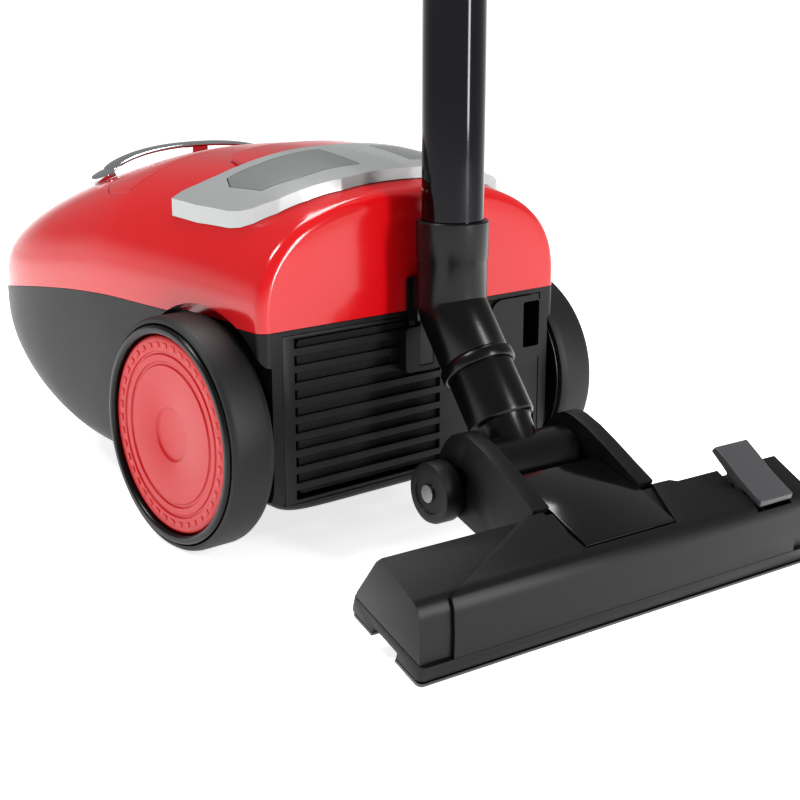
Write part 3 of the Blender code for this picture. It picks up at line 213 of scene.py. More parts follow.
# The tube is chrome, but its base colour is darkened far below real chrome: painted dark reflection, standing in
# for dark surroundings mirrored in the tube.
tube_chrome = finish("chrome_tube_painted_dark_reflection", "#2C2C2E", 0.09, metallic=1.0, grain_mm=4.0, grain=0.004,
                     spread=0.02)
steel = finish("turned_steel", "#A9ABAE", 0.28, metallic=1.0, grain_mm=0.5, grain=0.04)
# The sole plate's steel is given a darker grey than the turned steel.
darker_sole_steel = finish("brushed_sole_steel", "#5C5E60", 0.36, metallic=1.0, grain_mm=0.5, grain=0.05)
fleece = finish("filter_fleece", "#E4E2DA", 0.95, grain_mm=1.2, grain=0.5)
# The exhaust filter behind the grille is coloured near-black: painted shade, so the slots read as dark openings.
painted_shade_filter = finish("filter_foam_painted_shade", "#161617", 0.95, grain_mm=1.2, grain=0.6)
bag_paper = finish("filter_paper", "#CDB78F", 0.9, grain_mm=1.6, grain=0.35)
card = finish("stiff_card", "#A98B62", 0.85, grain_mm=0.8, grain=0.15)
copper = finish("varnished_copper", "#B5652E", 0.35, metallic=0.9, grain_mm=0.6, grain=0.2)
board = finish("solder_mask", "#12532E", 0.35, grain_mm=1.5, grain=0.08)
bristle = finish("nylon_bristle", "#161616", 0.8, grain_mm=0.5, grain=0.8)
pile = finish("red_pile", "#B3202A", 0.95, grain_mm=0.6, grain=0.7)
print("finishes", len(bpy.data.materials))

# %% [markdown]
# Every node of the frame first gets the finish of its slot, so that the hidden pieces are done and
# nothing that shows stays plain.

# %% Finish the frame's own nodes
SLOT_FINISH = {
    "housing_plastic": black_abs, "red_shell": red_abs, "hub_red": hub_abs, "silver_plastic": silver_abs,
    "pedal_grey": pedal_abs, "chrome": chrome, "tube_chrome": tube_chrome, "black_gloss": satin_abs,
    "tyre_rubber": rubber, "seal_rubber": rubber, "castor_grey": nylon, "steel": steel,
    "filter": fleece, "bag_paper": bag_paper, "cardboard": card, "winding": copper,
    "board_green": board, "bristle": bristle, "lifter_red": pile,
}
slot_of = {part["node"]: part["material_slot"] for part in frame["record"]["subparts"]}
for name, item in cad_nodes.items():
    item.data.materials.clear()
    item.data.materials.append(SLOT_FINISH[slot_of[name]])
# The exhaust filter takes the near-black colour: painted shade inside the grille's slots.
cad_nodes["exhaust_filter"].data.materials[0] = painted_shade_filter
cad_nodes["sole_plate"].data.materials[0] = darker_sole_steel

# %% [markdown]
# Modelling tools. An outline is drawn by extruding one vertex from point to point, as by hand. It
# is then spun round an axis, or filled and extruded. A finished piece is moved to its place in its
# mesh, so that its object stays at the origin.

# %% Drawing, spinning and extruding
def deselect():
    if bpy.context.object and bpy.context.object.mode != "OBJECT":
        bpy.ops.object.mode_set(mode="OBJECT")
    bpy.ops.object.select_all(action="DESELECT")


def draw(name, points, closed=True):
    """Draw a chain of edges by extruding a single vertex, and stay in edit mode."""
    deselect()
    bpy.ops.mesh.primitive_plane_add(size=0.001, location=(0, 0, 0))
    item = bpy.context.object
    item.name = name
    bpy.ops.object.mode_set(mode="EDIT")
    bpy.ops.mesh.select_all(action="SELECT")
    bpy.ops.mesh.merge(type="CENTER")
    bpy.ops.transform.translate(value=points[0])
    chain = list(points) + ([points[0]] if closed else [])
    for before, after in zip(chain, chain[1:]):
        step = Vector(after) - Vector(before)
        bpy.ops.mesh.extrude_region_move(TRANSFORM_OT_translate={"value": step})
    bpy.ops.mesh.select_all(action="SELECT")
    bpy.ops.mesh.remove_doubles(threshold=0.000002)
    return item


def tidy_mesh(item):
    """Merge doubles, turn faces outwards and leave edit mode."""
    bpy.ops.mesh.select_all(action="SELECT")
    bpy.ops.mesh.remove_doubles(threshold=0.000004)
    bpy.ops.mesh.normals_make_consistent(inside=False)
    bpy.ops.object.mode_set(mode="OBJECT")
    return item


def spin(name, profile, steps=96):
    """Spin a profile of (radius, height) round Z."""
    item = draw(name, [(radius, 0, height) for radius, height in profile], closed=profile[0][0] > 0)
    bpy.ops.mesh.spin(steps=steps, angle=2 * math.pi, center=(0, 0, 0), axis=(0, 0, 1))
    return tidy_mesh(item)


def slab(name, outline, thickness):
    """Fill an outline in X-Y and extrude it along Z."""
    item = draw(name, [(x, y, 0) for x, y in outline])
    bpy.ops.mesh.edge_face_add()
    bpy.ops.mesh.extrude_region_move(TRANSFORM_OT_translate={"value": (0, 0, thickness)})
    return tidy_mesh(item)


def apply_all(item):
    """Apply every modifier of a piece."""
    deselect()
    bpy.context.view_layer.objects.active = item
    item.select_set(True)
    for change in list(item.modifiers):
        bpy.ops.object.modifier_apply(modifier=change.name)


def soften(item, width, segments=2, angle=35):
    """Round the edges sharper than an angle, apply it, and shade smoothly."""
    bevel = item.modifiers.new("edge", "BEVEL")
    bevel.width = width
    bevel.segments = segments
    bevel.limit_method = "ANGLE"
    bevel.angle_limit = math.radians(angle)
    bevel.harden_normals = False
    apply_all(item)
    smooth(item, angle)


def smooth(item, angle=35):
    deselect()
    bpy.context.view_layer.objects.active = item
    item.select_set(True)
    bpy.ops.object.shade_smooth_by_angle(angle=math.radians(angle))


def boolean(item, tool, operation="DIFFERENCE"):
    """Cut with a tool, apply the cut and drop the tool."""
    change = item.modifiers.new("cut", "BOOLEAN")
    change.object = tool
    change.operation = operation
    change.solver = "EXACT"
    apply_all(item)
    bpy.data.objects.remove(tool, do_unlink=True)


def box(name, x, y, z):
    """A cutting box from three (low, high) pairs."""
    deselect()
    middle = [(low + high) / 2 for low, high in (x, y, z)]
    bpy.ops.mesh.primitive_cube_add(size=1, location=middle)
    item = bpy.context.object
    item.name = name
    item.scale = [high - low for low, high in (x, y, z)]
    bpy.ops.object.transform_apply(location=True, rotation=False, scale=True)
    return item


def place(item, matrix, material, body, slot, replaced=()):
    """Move a piece's mesh to its place, give it its finish, and hang it on its body."""
    item.data.transform(item.matrix_world)
    item.matrix_world = Matrix.Identity(4)
    item.data.transform(matrix)
    item.data.materials.clear()
    item.data.materials.append(material)
    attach(item, body)
    if replaced:
        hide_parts(*replaced)
    return item


def facing(direction):
    """A turn that takes Z to a direction."""
    return Vector(direction).to_track_quat("Z", "Y").to_matrix().to_4x4()


# %% [markdown]
# The rear wheels. Each is a stack of turned pieces: a rubber tyre with rounded shoulders, a black
# wheel with a groove beside it, and a red hub cap whose face has stepped rings and a dashed band.

# %% Rear wheels
TRACK_HALF = 0.142        # middle of the canister to a wheel's outer face
WHEEL_WIDTH = 0.030
WELL_CLEARANCE = 0.0045
GAP = 0.0003              # clearance between pieces that touch
CAP_RADIUS = 0.0576
RIM_RADIUS = 0.0633
WHEEL_FINE = 128


def rear_wheel(side, label):
    inner_face = (side * (TRACK_HALF - WHEEL_WIDTH), 0, WHEEL_RADIUS)
    hub = BODY @ Matrix.Translation(inner_face) @ facing((side, 0, 0))
    w = WHEEL_WIDTH
    profile = [(0.0053, 0.003), (0.0053, 0.021), (0.012, 0.021), (0.013, 0.014),
               (CAP_RADIUS + 0.0004, 0.014), (CAP_RADIUS + 0.0004, w - 0.0012),
               (CAP_RADIUS + 0.0016, w), (RIM_RADIUS - 0.0012, w), (RIM_RADIUS - 0.0002, w - 0.0014),
               (RIM_RADIUS - 0.0002, 0.0), (RIM_RADIUS - 0.004, 0.0), (RIM_RADIUS - 0.005, 0.011),
               (0.013, 0.011), (0.012, 0.003)]
    wheel = spin(label + "_wheel_disc", profile, WHEEL_FINE)
    soften(wheel, 0.0006)
    place(wheel, hub, satin_abs, label + "_rear_wheel", "black_gloss", [label + "_wheel"])
    r = WHEEL_RADIUS
    profile = [(RIM_RADIUS, 0.0015), (RIM_RADIUS, w - 0.0032), (RIM_RADIUS + 0.0008, w - 0.0020),
               (r - 0.0016, w - 0.0022), (r - 0.0004, w - 0.0040), (r, w - 0.0062), (r, 0.0062),
               (r - 0.0004, 0.0040), (r - 0.0018, 0.0015)]
    tyre = spin(label + "_rubber_tyre", profile, WHEEL_FINE)
    smooth(tyre, 40)
    place(tyre, hub, rubber, label + "_rear_wheel", "tyre_rubber", [label + "_tyre"])
    profile = [(0, w - 0.0056), (0.0130, w - 0.0054), (0.0150, w - 0.0050), (0.0160, w - 0.0040),
               (0.0400, w - 0.0032), (0.0404, w - 0.0040), (0.0420, w - 0.0040), (0.0424, w - 0.0031),
               (0.0462, w - 0.0030), (0.0466, w - 0.0038), (0.0478, w - 0.0038), (0.0482, w - 0.0029),
               (0.0548, w - 0.0024), (0.0566, w - 0.0030), (0.0574, w - 0.0042), (0.0574, w - 0.0072),
               (0, w - 0.0074)]
    cap = spin(label + "_hub_disc", profile, WHEEL_FINE)
    soften(cap, 0.0002, 1, 25)
    place(cap, hub, hub_abs, label + "_rear_wheel", "hub_red", [label + "_hub_cap"])
    ribs = rib_ring(label + "_hub_ribs", 0.0504, 0.0535, w - 0.0030, 40)
    place(ribs, hub, hub_abs, label + "_rear_wheel", "hub_red")


def rib_ring(name, inner, outer, height, count):
    """A ring of short raised bars, modelled once and spun into place as copies."""
    deselect()
    bpy.ops.mesh.primitive_cube_add(size=1, location=((inner + outer) / 2, 0, height))
    item = bpy.context.object
    item.name = name
    item.scale = (outer - inner, 0.0044, 0.0016)
    bpy.ops.object.transform_apply(location=True, rotation=False, scale=True)
    bpy.ops.object.mode_set(mode="EDIT")
    bpy.ops.mesh.select_all(action="SELECT")
    bpy.ops.mesh.bevel(offset=0.0004, segments=2, affect="EDGES")
    bpy.ops.mesh.select_all(action="SELECT")
    bpy.ops.mesh.spin(steps=count, dupli=True, angle=2 * math.pi, center=(0, 0, 0), axis=(0, 0, 1))
    tidy_mesh(item)
    smooth(item, 40)
    return item


for side, label in ((-1, "left"), (1, "right")):
    rear_wheel(side, label)
print("wheels done")

# %% [markdown]
# The canister's form is a loft: a row of cross-sections, upper half near an ellipse and lower half
# nearly square, whose width, crown, seam and underside follow smooth curves along the canister. A
# grid is a good start, because each of its rows can be bent into one cross-section.

# %% The canister's curves
REAR_Y, NOSE_Y = -0.057, 0.318
SEAM_BACK = 0.131
CROWN, CROWN_Y = 0.2162, 0.102
FULL_Y = 0.130


def ease(value):
    value = min(max(value, 0.0), 1.0)
    return value * value * (3 - 2 * value)


def half_width(y):
    return 0.114 + 0.005 * ease((y - REAR_Y) / (FULL_Y - REAR_Y))


def seam_z(y):
    return SEAM_BACK - 0.020 * max((y - 0.090) / 0.180, 0.0) ** 1.6


def crown_z(y):
    if y < CROWN_Y:
        return CROWN - 0.0163 * ((CROWN_Y - y) / (CROWN_Y - REAR_Y)) ** 2.8
    return CROWN - 0.0636 * ((y - CROWN_Y) / (NOSE_Y - CROWN_Y)) ** 1.28


def under_z(y):
    return 0.0245 + 0.078 * max((y - 0.110) / (NOSE_Y - 0.110), 0.0) ** 2.2


def shell_z(x, y):
    """Height of the red surface over a point of the floor plan."""
    middle = seam_z(y) + 0.006
    share = min(abs(x) / half_width(y), 1.0)
    return middle + (crown_z(y) - middle) * (1 - share ** 2.5) ** 0.4


def section(y, inset, share, scale, edge):
    """The point at a share of the way round the cross-section at y."""
    closing = max((y - FULL_Y) / (NOSE_Y - inset - FULL_Y), 0.0)
    middle = seam_z(y) + 0.006
    wide = (half_width(y) - inset - edge) * max(1 - closing ** 3.6, 0.0) ** (1 / 3)
    high = (crown_z(y) - inset - edge - middle) * max(1 - closing ** 4.9, 0.0) ** 0.45
    deep = (middle - under_z(y) - inset - edge) * max(1 - closing ** 8, 0.0) ** 0.45
    angle = 2 * math.pi * share
    c, s = math.cos(angle), math.sin(angle)
    fullness = 10.0 - 5.0 * ease((y - 0.090) / 0.200)
    power = 2 / 2.5 if s >= 0 else 2 / fullness
    x = wide * math.copysign(abs(c) ** power, c) * scale
    z = (high if s >= 0 else deep) * math.copysign(abs(s) ** power, s) * scale
    return x, y, middle + z


def body_form(name, inset=0.0, around=192, along=110):
    """The canister as a closed form, shrunk or grown by inset."""
    radius = max(0.006 - inset, 0.001)
    back = REAR_Y + inset
    rows = [(back, s, radius) for s in (0.0, 0.3, 0.6, 0.85)]
    rows += [(back + radius * (1 - math.cos(a)), 1.0, radius * (1 - math.sin(a)))
             for a in (math.pi / 2 * k / 6 for k in range(7))]
    straight = 34
    start = back + radius
    rows += [(start + (FULL_Y - start) * k / straight, 1.0, 0.0) for k in range(1, straight + 1)]
    nose = along - len(rows)
    rows += [(FULL_Y + (NOSE_Y - inset - FULL_Y) * math.sin(math.pi / 2 * k / nose), 1.0, 0.0)
             for k in range(1, nose + 1)]
    deselect()
    bpy.ops.mesh.primitive_grid_add(x_subdivisions=around, y_subdivisions=len(rows) - 1, size=1)
    item = bpy.context.object
    item.name = name
    wide = around + 1
    for index, vertex in enumerate(item.data.vertices):
        y, scale, edge = rows[index // wide]
        vertex.co = section(y, inset, index % wide % around / around, scale, edge)
    bpy.ops.object.mode_set(mode="EDIT")
    return tidy_mesh(item)


def over_plan(name, outline, low, high):
    """A cutting tool that stands on a floor-plan outline."""
    item = slab(name, outline, high - low)
    item.location.z = low
    return item


def over_seam(name, shift):
    """A cutting tool that fills everything above the seam."""
    outline = [(-0.2, 0.4), (-0.2, seam_z(-0.2) + shift)]
    outline += [(0.060 + 0.300 * k / 30, seam_z(0.060 + 0.300 * k / 30) + shift) for k in range(31)]
    outline.append((0.360, 0.4))
    item = slab(name, outline, 0.6)
    item.data.transform(Matrix(((0, 0, 1, -0.3), (1, 0, 0, 0), (0, 1, 0, 0), (0, 0, 0, 1))))
    return item


def disc_tool(name, radius, origin, direction, length, steps=96):
    item = spin(name, [(0, 0), (radius, 0), (radius, length), (0, length)], steps)
    item.data.transform(Matrix.Translation(origin) @ facing(direction))
    return item


def cut_wells(item, wall=0.0):
    """Cut both wheel wells, with room for a wall round them."""
    for side in (-1, 1):
        inside = TRACK_HALF - WHEEL_WIDTH - WELL_CLEARANCE - wall
        radius = WHEEL_RADIUS + WELL_CLEARANCE + wall
        boolean(item, disc_tool("well", radius, (side * inside, 0, WHEEL_RADIUS), (side, 0, 0), 0.08))


def mirrored(half):
    return half + [(-x, y) for x, y in reversed(half) if x > 1e-6]


def band_outline():
    return mirrored([(0, -0.0390), (0.045, -0.0405), (0.068, -0.0370), (0.084, -0.0320), (0.094, -0.0240),
                     (0.098, -0.0170), (0.100, -0.0090), (0.1025, 0.0200), (0.1030, 0.0455), (0.098, 0.0420),
                     (0.091, 0.0345), (0.082, 0.0285), (0.069, 0.0248), (0.053, 0.0232), (0, 0.0235)])


def lid_outline(grow=0.0):
    back = 0.0985 - grow
    half = [(0, back), (0.060, back), (0.084 + 0.3 * grow, back + 0.0025), (0.096 + grow, back + 0.0075)]
    for k in range(9):
        angle = math.pi / 2 * k / 8
        half.append(((0.097 + grow) * math.cos(angle) ** 0.7, 0.122 + (0.044 + grow) * math.sin(angle)))
    half[-1] = (0, 0.166 + grow)
    return mirrored(half)


def latch_outline(grow=0.0):
    back = 0.0257 - grow
    return mirrored([(0, back), (0.062 + grow, back), (0.053 + grow, 0.0565 + grow), (0.030, 0.0600 + grow),
                     (0, 0.0610 + grow)])


def skin(name, outline, outer, inner):
    """A curved panel of the form between two insets, bounded by a floor-plan outline."""
    panel = body_form(name, outer)
    boolean(panel, over_plan("bound", outline, 0.150, 0.300), "INTERSECT")
    boolean(panel, body_form("under", inner))
    return panel


# %% [markdown]
# Both shells are the form less a smaller copy of it, so they have a real wall. The seam's tool
# splits them, and the wells, the panel opening, the dust bay and the hose hole are cut out.

# %% Black housing and red shell
WALL = 0.0025
CASTOR_Y = 0.185
BOSS_Z = 0.0315
PANEL_HALF, PANEL_LOW, PANEL_HIGH, PANEL_FIT = 0.100, 0.031, 0.128, 0.0004


def hollow(item):
    cavity = body_form("cavity", WALL)
    cut_wells(cavity, WALL)
    boolean(item, cavity)


housing = body_form("housing_shell")
boolean(housing, over_seam("above", 0.0))
boolean(housing, disc_tool("boss", 0.018, (0, CASTOR_Y, BOSS_Z), (0, 0, 1), 0.014), "UNION")
cut_wells(housing)
hollow(housing)
opening = PANEL_HALF + PANEL_FIT
boolean(housing, box("opening", (-opening, opening), (REAR_Y - 0.01, REAR_Y + 0.01),
                     (PANEL_LOW - PANEL_FIT, PANEL_HIGH + PANEL_FIT)))
boolean(housing, disc_tool("castor_recess", 0.0160, (0, CASTOR_Y, BOSS_Z - 0.012), (0, 0, 1), 0.012, 48))
boolean(housing, disc_tool("stem_hole", 0.0043, (0, CASTOR_Y, BOSS_Z - 0.010), (0, 0, 1), 0.0145, 32))
smooth(housing, 30)
place(housing, BODY, black_abs, "canister", "housing_plastic", ["lower_housing"])

red_shell = body_form("red_shell")
cut_wells(red_shell)
hollow(red_shell)
boolean(red_shell, over_seam("above", GAP), "INTERSECT")
boolean(red_shell, over_plan("bay", lid_outline(0.0004), 0.165, 0.260))
boolean(red_shell, over_plan("latch_window", latch_outline(0.0006), 0.165, 0.260))
SOCKET_TILT = math.radians(40)
SOCKET = Matrix.Translation((0, 0.2915, 0.150)) @ facing((0, math.cos(SOCKET_TILT), math.sin(SOCKET_TILT)))
hole = spin("hose_hole", [(0, -0.012), (0.0243, -0.012), (0.0243, 0.028), (0, 0.028)], 64)
hole.data.transform(SOCKET)
boolean(red_shell, hole)
for side in (-1, 1):
    low, high = sorted((side * 0.040, side * 0.062))
    boolean(red_shell, box("window", (low, high), (-0.012, 0.012), (0.150, 0.260)))
smooth(red_shell, 30)
place(red_shell, BODY, red_abs, "canister", "red_shell", ["upper_shell"])
print("shells", len(housing.data.polygons), len(red_shell.data.polygons))

# %% [markdown]
# The lid and its latch are cut from the same form as the shell, so they follow its curve exactly.
# The silver band and its pedals come from a slightly bigger form, which makes them stand proud.

# %% Lid, latch, band and pedals
BAND_RISE = 0.0068
lid = skin("lid_panel", lid_outline(), 0.0, WALL)
smooth(lid, 30)
place(lid, BODY, red_abs, "lid", "red_shell", ["dust_lid"])
latch = skin("latch_tongue", latch_outline(), -0.0042, WALL)
smooth(latch, 30)
place(latch, BODY, red_abs, "latch", "red_shell", ["lid_latch"])


def pedal_plan(side, grow):
    points = [(0.020 - grow, -0.0250 - grow), (0.062, -0.0230 - grow), (0.082 + grow, -0.0150 - grow),
              (0.087 + grow, 0.0080), (0.082 + grow, 0.0180 + grow), (0.060, 0.0145 + grow),
              (0.020 - grow, 0.0135 + grow)]
    return [(side * x, y) for x, y in points]


band = skin("silver_band", band_outline(), -BAND_RISE, -GAP)
for side, name, body, node in ((-1, "power_pedal_skin", "power_button", "power_pedal"),
                               (1, "rewind_pedal_skin", "rewind_button", "rewind_pedal")):
    well = body_form("well", -BAND_RISE - 0.002)
    boolean(well, over_plan("plan", pedal_plan(side, 0.0006), 0.150, 0.300), "INTERSECT")
    boolean(well, body_form("floor", -0.0022))
    boolean(band, well)
    pedal = skin(name, pedal_plan(side, 0.0), -BAND_RISE, -0.0046)
    smooth(pedal, 30)
    place(pedal, BODY, pedal_abs, body, "pedal_grey", [node])
smooth(band, 30)
place(band, BODY, silver_abs, "canister", "silver_plastic", ["control_panel"])
print("band", len(band.data.polygons))

# %% [markdown]
# The tube, elbow and neck. The chrome tube is drawn steel, so it is a plain spun wall with a rolled
# rim; its dark colour is a painted dark reflection. The elbow is a ring swept round the bend by spinning it about
# the bend's centre.

# %% Tubes and clamp
def pipe_wall(name, outer, inner, low, high):
    lip = (outer - inner) * 0.3
    return spin(name, [(inner, low), (outer - lip, low), (outer, low + lip), (outer, high - lip),
                       (outer - lip, high), (inner, high)], 96)


lower_tube = pipe_wall("chrome_tube", 0.0175, 0.0165, 0.152, 0.640)
smooth(lower_tube)
place(lower_tube, WAND, tube_chrome, "wand", "tube_chrome", ["lower_tube"])
inner_tube = pipe_wall("inner_chrome_tube", 0.0160, 0.0150, 0.300, 0.800)
smooth(inner_tube)
place(inner_tube, WAND, tube_chrome, "extension", "tube_chrome", ["upper_tube"])
profile = [(0.0178, 0.618), (0.0205, 0.618), (0.0217, 0.620), (0.0217, 0.628), (0.0211, 0.629),
           (0.0211, 0.680), (0.0217, 0.681), (0.0217, 0.684), (0.0190, 0.690), (0.0163, 0.690),
           (0.0163, 0.6403), (0.0178, 0.6403)]
clamp = spin("clamp_sleeve", profile, 96)
boolean(clamp, box("pocket", (-0.0075, 0.0075), (-0.030, -0.0195), (0.646, 0.678)))
soften(clamp, 0.0004)
place(clamp, WAND, satin_abs, "wand", "black_gloss", ["tube_clamp"])


# %% Elbow, swivel ring and neck
ELBOW_RADIUS = 0.0205
KINK = Vector((0, 0, PIVOT.z)) - Vector((0, 0, PIVOT.y * NECK_AXIS.z / NECK_AXIS.y))
LEG = 0.0357
BEND = 0.016


def sweep(name, stations, steps=64):
    """Skin rings along a path: each station is (point, direction, radius)."""
    deselect()
    bpy.ops.mesh.primitive_grid_add(x_subdivisions=steps, y_subdivisions=len(stations) - 1, size=1)
    item = bpy.context.object
    item.name = name
    for index, vertex in enumerate(item.data.vertices):
        point, along, radius = stations[index // (steps + 1)]
        angle = 2 * math.pi * (index % (steps + 1)) / steps
        up = Vector((1, 0, 0)).cross(Vector(along).normalized())
        vertex.co = Vector(point) + radius * (math.cos(angle) * Vector((1, 0, 0)) + math.sin(angle) * up)
    bpy.ops.object.mode_set(mode="EDIT")
    return tidy_mesh(item)


down = Vector((0, 0, -1))
theta = math.acos(-NECK_AXIS.z)
reach = BEND * math.tan(theta / 2)
top, rim = Vector((0, 0, 0.186)), 0.0008
stations = [(top, down, 0.0178), (top, down, ELBOW_RADIUS - rim), (top + down * rim, down, ELBOW_RADIUS),
            (top + down * 0.021, down, ELBOW_RADIUS), (top + down * 0.022, down, ELBOW_RADIUS - 0.0006)]
bores = []
for k in range(13):
    a = theta * k / 12
    point = Vector((0, -BEND * (1 - math.cos(a)), KINK.z + reach - BEND * math.sin(a)))
    along = Vector((0, -math.sin(a), -math.cos(a)))
    stations.append((point, along, ELBOW_RADIUS - 0.0006))
    bores.append((point, along, 0.0157))
end = KINK + NECK_AXIS * LEG
stations += [(end - NECK_AXIS * 0.0012, NECK_AXIS, ELBOW_RADIUS - 0.0006),
             (end, NECK_AXIS, ELBOW_RADIUS - 0.0016)]
bores.append((end, NECK_AXIS, 0.0157))
seat = top + down * 0.0343
inner = [(seat, down, 0.0157), (seat, down, 0.0178), (top, down, 0.0178)]
elbow = sweep("elbow_shell", stations + bores[::-1] + inner)
smooth(elbow, 40)
place(elbow, WAND, satin_abs, "wand", "black_gloss", ["elbow"])

ring_place = WAND @ Matrix.Translation(KINK + NECK_AXIS * (LEG + GAP)) @ facing(NECK_AXIS)
ring = spin("swivel_collar", [(0.0195, 0), (0.0210, 0), (0.0217, 0.0012), (0.0217, 0.0058), (0.0210, 0.007),
                              (0.0195, 0.007)], 96)
soften(ring, 0.0003)
place(ring, ring_place, satin_abs, "wand", "black_gloss", ["swivel_ring"])

along_pivot = (PIVOT - KINK).length
t0, seam, wide_end = LEG - 0.016, LEG + GAP, LEG + 0.040
profile = [(0.0128, t0), (0.0153, t0), (0.0153, seam), (0.0192, seam), (0.0192, wide_end - 0.0022),
           (0.0188, wide_end - 0.0010), (0.0178, wide_end), (0.0166, wide_end), (0.0158, wide_end + 0.003),
           (0.0150, along_pivot - 0.008), (0.0128, along_pivot - 0.008)]
neck = spin("neck_tube", profile, 96)
neck.data.transform(Matrix.Translation(KINK) @ facing(NECK_AXIS))
half = 0.0309
barrel = spin("barrel", [(0, -half), (0.0168, -half), (0.0180, -half + 0.0012), (0.0180, half - 0.0012),
                         (0.0168, half), (0, half)], 96)
barrel.data.transform(Matrix.Translation(PIVOT) @ facing((1, 0, 0)))
pin = disc_tool("trunnion", 0.0060, PIVOT - Vector((0.039, 0, 0)), (1, 0, 0), 0.078, 48)
boolean(barrel, pin, "UNION")
boolean(neck, barrel, "UNION")
boolean(neck, disc_tool("duct", 0.0127, KINK + NECK_AXIS * (along_pivot - 0.030), NECK_AXIS, 0.032, 64))
smooth(neck, 35)
place(neck, WAND, satin_abs, "neck", "black_gloss", ["swivel_neck"])
print("neck", len(neck.data.polygons))

# %% [markdown]
# The floor head is built in its own coordinates: x across, s back along the sole from the front
# edge, h above the sole. Its covers are long extrusions of one side outline, cut to plan.

# %% Head tools
HALF = 0.1375             # half the head's length
PIVOT_S, PIVOT_H = 0.1045, 0.0277
HEAD_LOW = 0.0109         # lower edge of the covers
CHEEK_INSIDE, CHEEK_OUTSIDE = 0.0315, 0.042
MOUTH, BRUSH_SLOT = (0.0230, 0.0370), (0.0085, 0.0145)


def head_slab(name, outline, low, high):
    """Extrude a side outline of (s, h) across the head."""
    item = slab(name, outline, high - low)
    item.data.transform(Matrix(((0, 0, 1, low), (1, 0, 0, -PIVOT_S), (0, 1, 0, -PIVOT_H), (0, 0, 0, 1))))
    return item


def head_plan(name, outline, low, high):
    """Extrude a floor plan of (x, s) up from low to high."""
    item = slab(name, outline, high - low)
    item.data.transform(Matrix.Translation((0, -PIVOT_S, low - PIVOT_H)))
    return item


def head_box(name, x, s, h):
    return box(name, x, [value - PIVOT_S for value in s], [value - PIVOT_H for value in h])


def head_outline(inset, low):
    """Side outline: leaning front, round brow, rising top and leaning back."""
    points = [(0.0006 + inset, low)] if low < HEAD_LOW else []
    points += [(0.0006 + inset, HEAD_LOW), (0.0040 + inset, 0.0230)]
    brow = 0.0125 - inset
    for k in range(17):
        angle = math.radians(168 - 72 * k / 16)
        points.append((0.0190 + brow * math.cos(angle), 0.0280 + brow * math.sin(angle)))
    return points + [(0.0445, 0.045 - inset), (0.0500 - inset, 0.0405 - inset), (0.0595 - inset, 0.0135),
                     (0.0595 - inset, low)]


def pedal_pocket():
    return head_box("pedal_pocket", (0.0894, 0.1186), (0.0105, 0.0640), (0.0330, 0.070))


def across(name, radius, start, length, s, h, steps=32):
    return disc_tool(name, radius, (start, s - PIVOT_S, h - PIVOT_H), (1, 0, 0), length, steps)


# %% Head covers
cover = head_slab("head_cover_skin", head_outline(0.0023, HEAD_LOW), -HALF + 0.0008, HALF - 0.0008)
hump = [(0.0478, 0.030), (0.0478, 0.0447), (0.064, 0.0475), (0.080, 0.0505), (0.094, 0.0526),
        (0.106, 0.0530), (0.111, 0.0522), (0.114, 0.0510), (0.119, 0.0468), (0.123, 0.0400),
        (0.125, 0.0330), (0.1255, 0.0260), (0.1240, 0.0180), (0.121, 0.0120), (0.117, 0.0085),
        (0.112, 0.0060), (0.061, 0.0060), (0.061, HEAD_LOW), (0.055, HEAD_LOW)]
boolean(cover, head_slab("hump", hump, -CHEEK_OUTSIDE, CHEEK_OUTSIDE), "UNION")
boolean(cover, head_slab("hollow", head_outline(0.0044, HEAD_LOW - 0.01), -HALF + 0.003, HALF - 0.003))
boolean(cover, head_box("neck_slot", (-CHEEK_INSIDE, CHEEK_INSIDE), (0.0605, 0.142), (-0.01, 0.070)))
boolean(cover, head_box("panel_recess", (-CHEEK_INSIDE, CHEEK_INSIDE), (0.0150, 0.0820), (0.0398, 0.070)))
boolean(cover, head_box("duct", (-0.024, 0.024), (0.040, 0.070), (0.0145, 0.0340)))
boolean(cover, across("trunnion_hole", 0.0063, -0.06, 0.12, PIVOT_S, PIVOT_H))
boolean(cover, pedal_pocket())
boolean(cover, across("pin_hole", 0.0021, 0.086, 0.036, 0.0330, 0.0380))
soften(cover, 0.0007, 3, 30)
place(cover, HEAD, black_abs, "head", "housing_plastic", ["head_cover"])

brow, narrow = HALF - 0.019, 0.046
plan = mirrored([(narrow, 0.047), (brow, 0.012), (brow, -0.01)][::-1])
front = head_slab("front_cover_skin", head_outline(0.0, HEAD_LOW), -HALF + 0.0002, HALF - 0.0002)
boolean(front, head_plan("plan", plan, -0.03, 0.09), "INTERSECT")
boolean(front, head_slab("under", head_outline(0.0020, HEAD_LOW - 0.005), -HALF - 0.01, HALF + 0.01))
notch = [(-0.0316, 0.017), (0.0316, 0.017), (0.0425, 0.060), (-0.0425, 0.060)]
boolean(front, head_plan("notch", notch, 0.030, 0.080))
boolean(front, head_box("pedal_pocket", (0.0890, 0.1190), (0.0105, 0.0640), (0.0330, 0.070)))
soften(front, 0.0005, 3, 30)
place(front, HEAD, black_abs, "head", "housing_plastic", ["front_cover"])
panel_side = [(0.0178, 0.0401), (0.0178, 0.0409), (0.0200, 0.0414), (0.0450, 0.0432),
              (0.0788, 0.0424), (0.0810, 0.0414), (0.0810, 0.0401)]
panel = head_slab("centre_panel_skin", panel_side, -0.0311, 0.0311)
soften(panel, 0.0003)
place(panel, HEAD, gloss_abs, "head", "black_gloss", ["centre_panel"])
print("covers", len(cover.data.polygons), len(front.data.polygons))

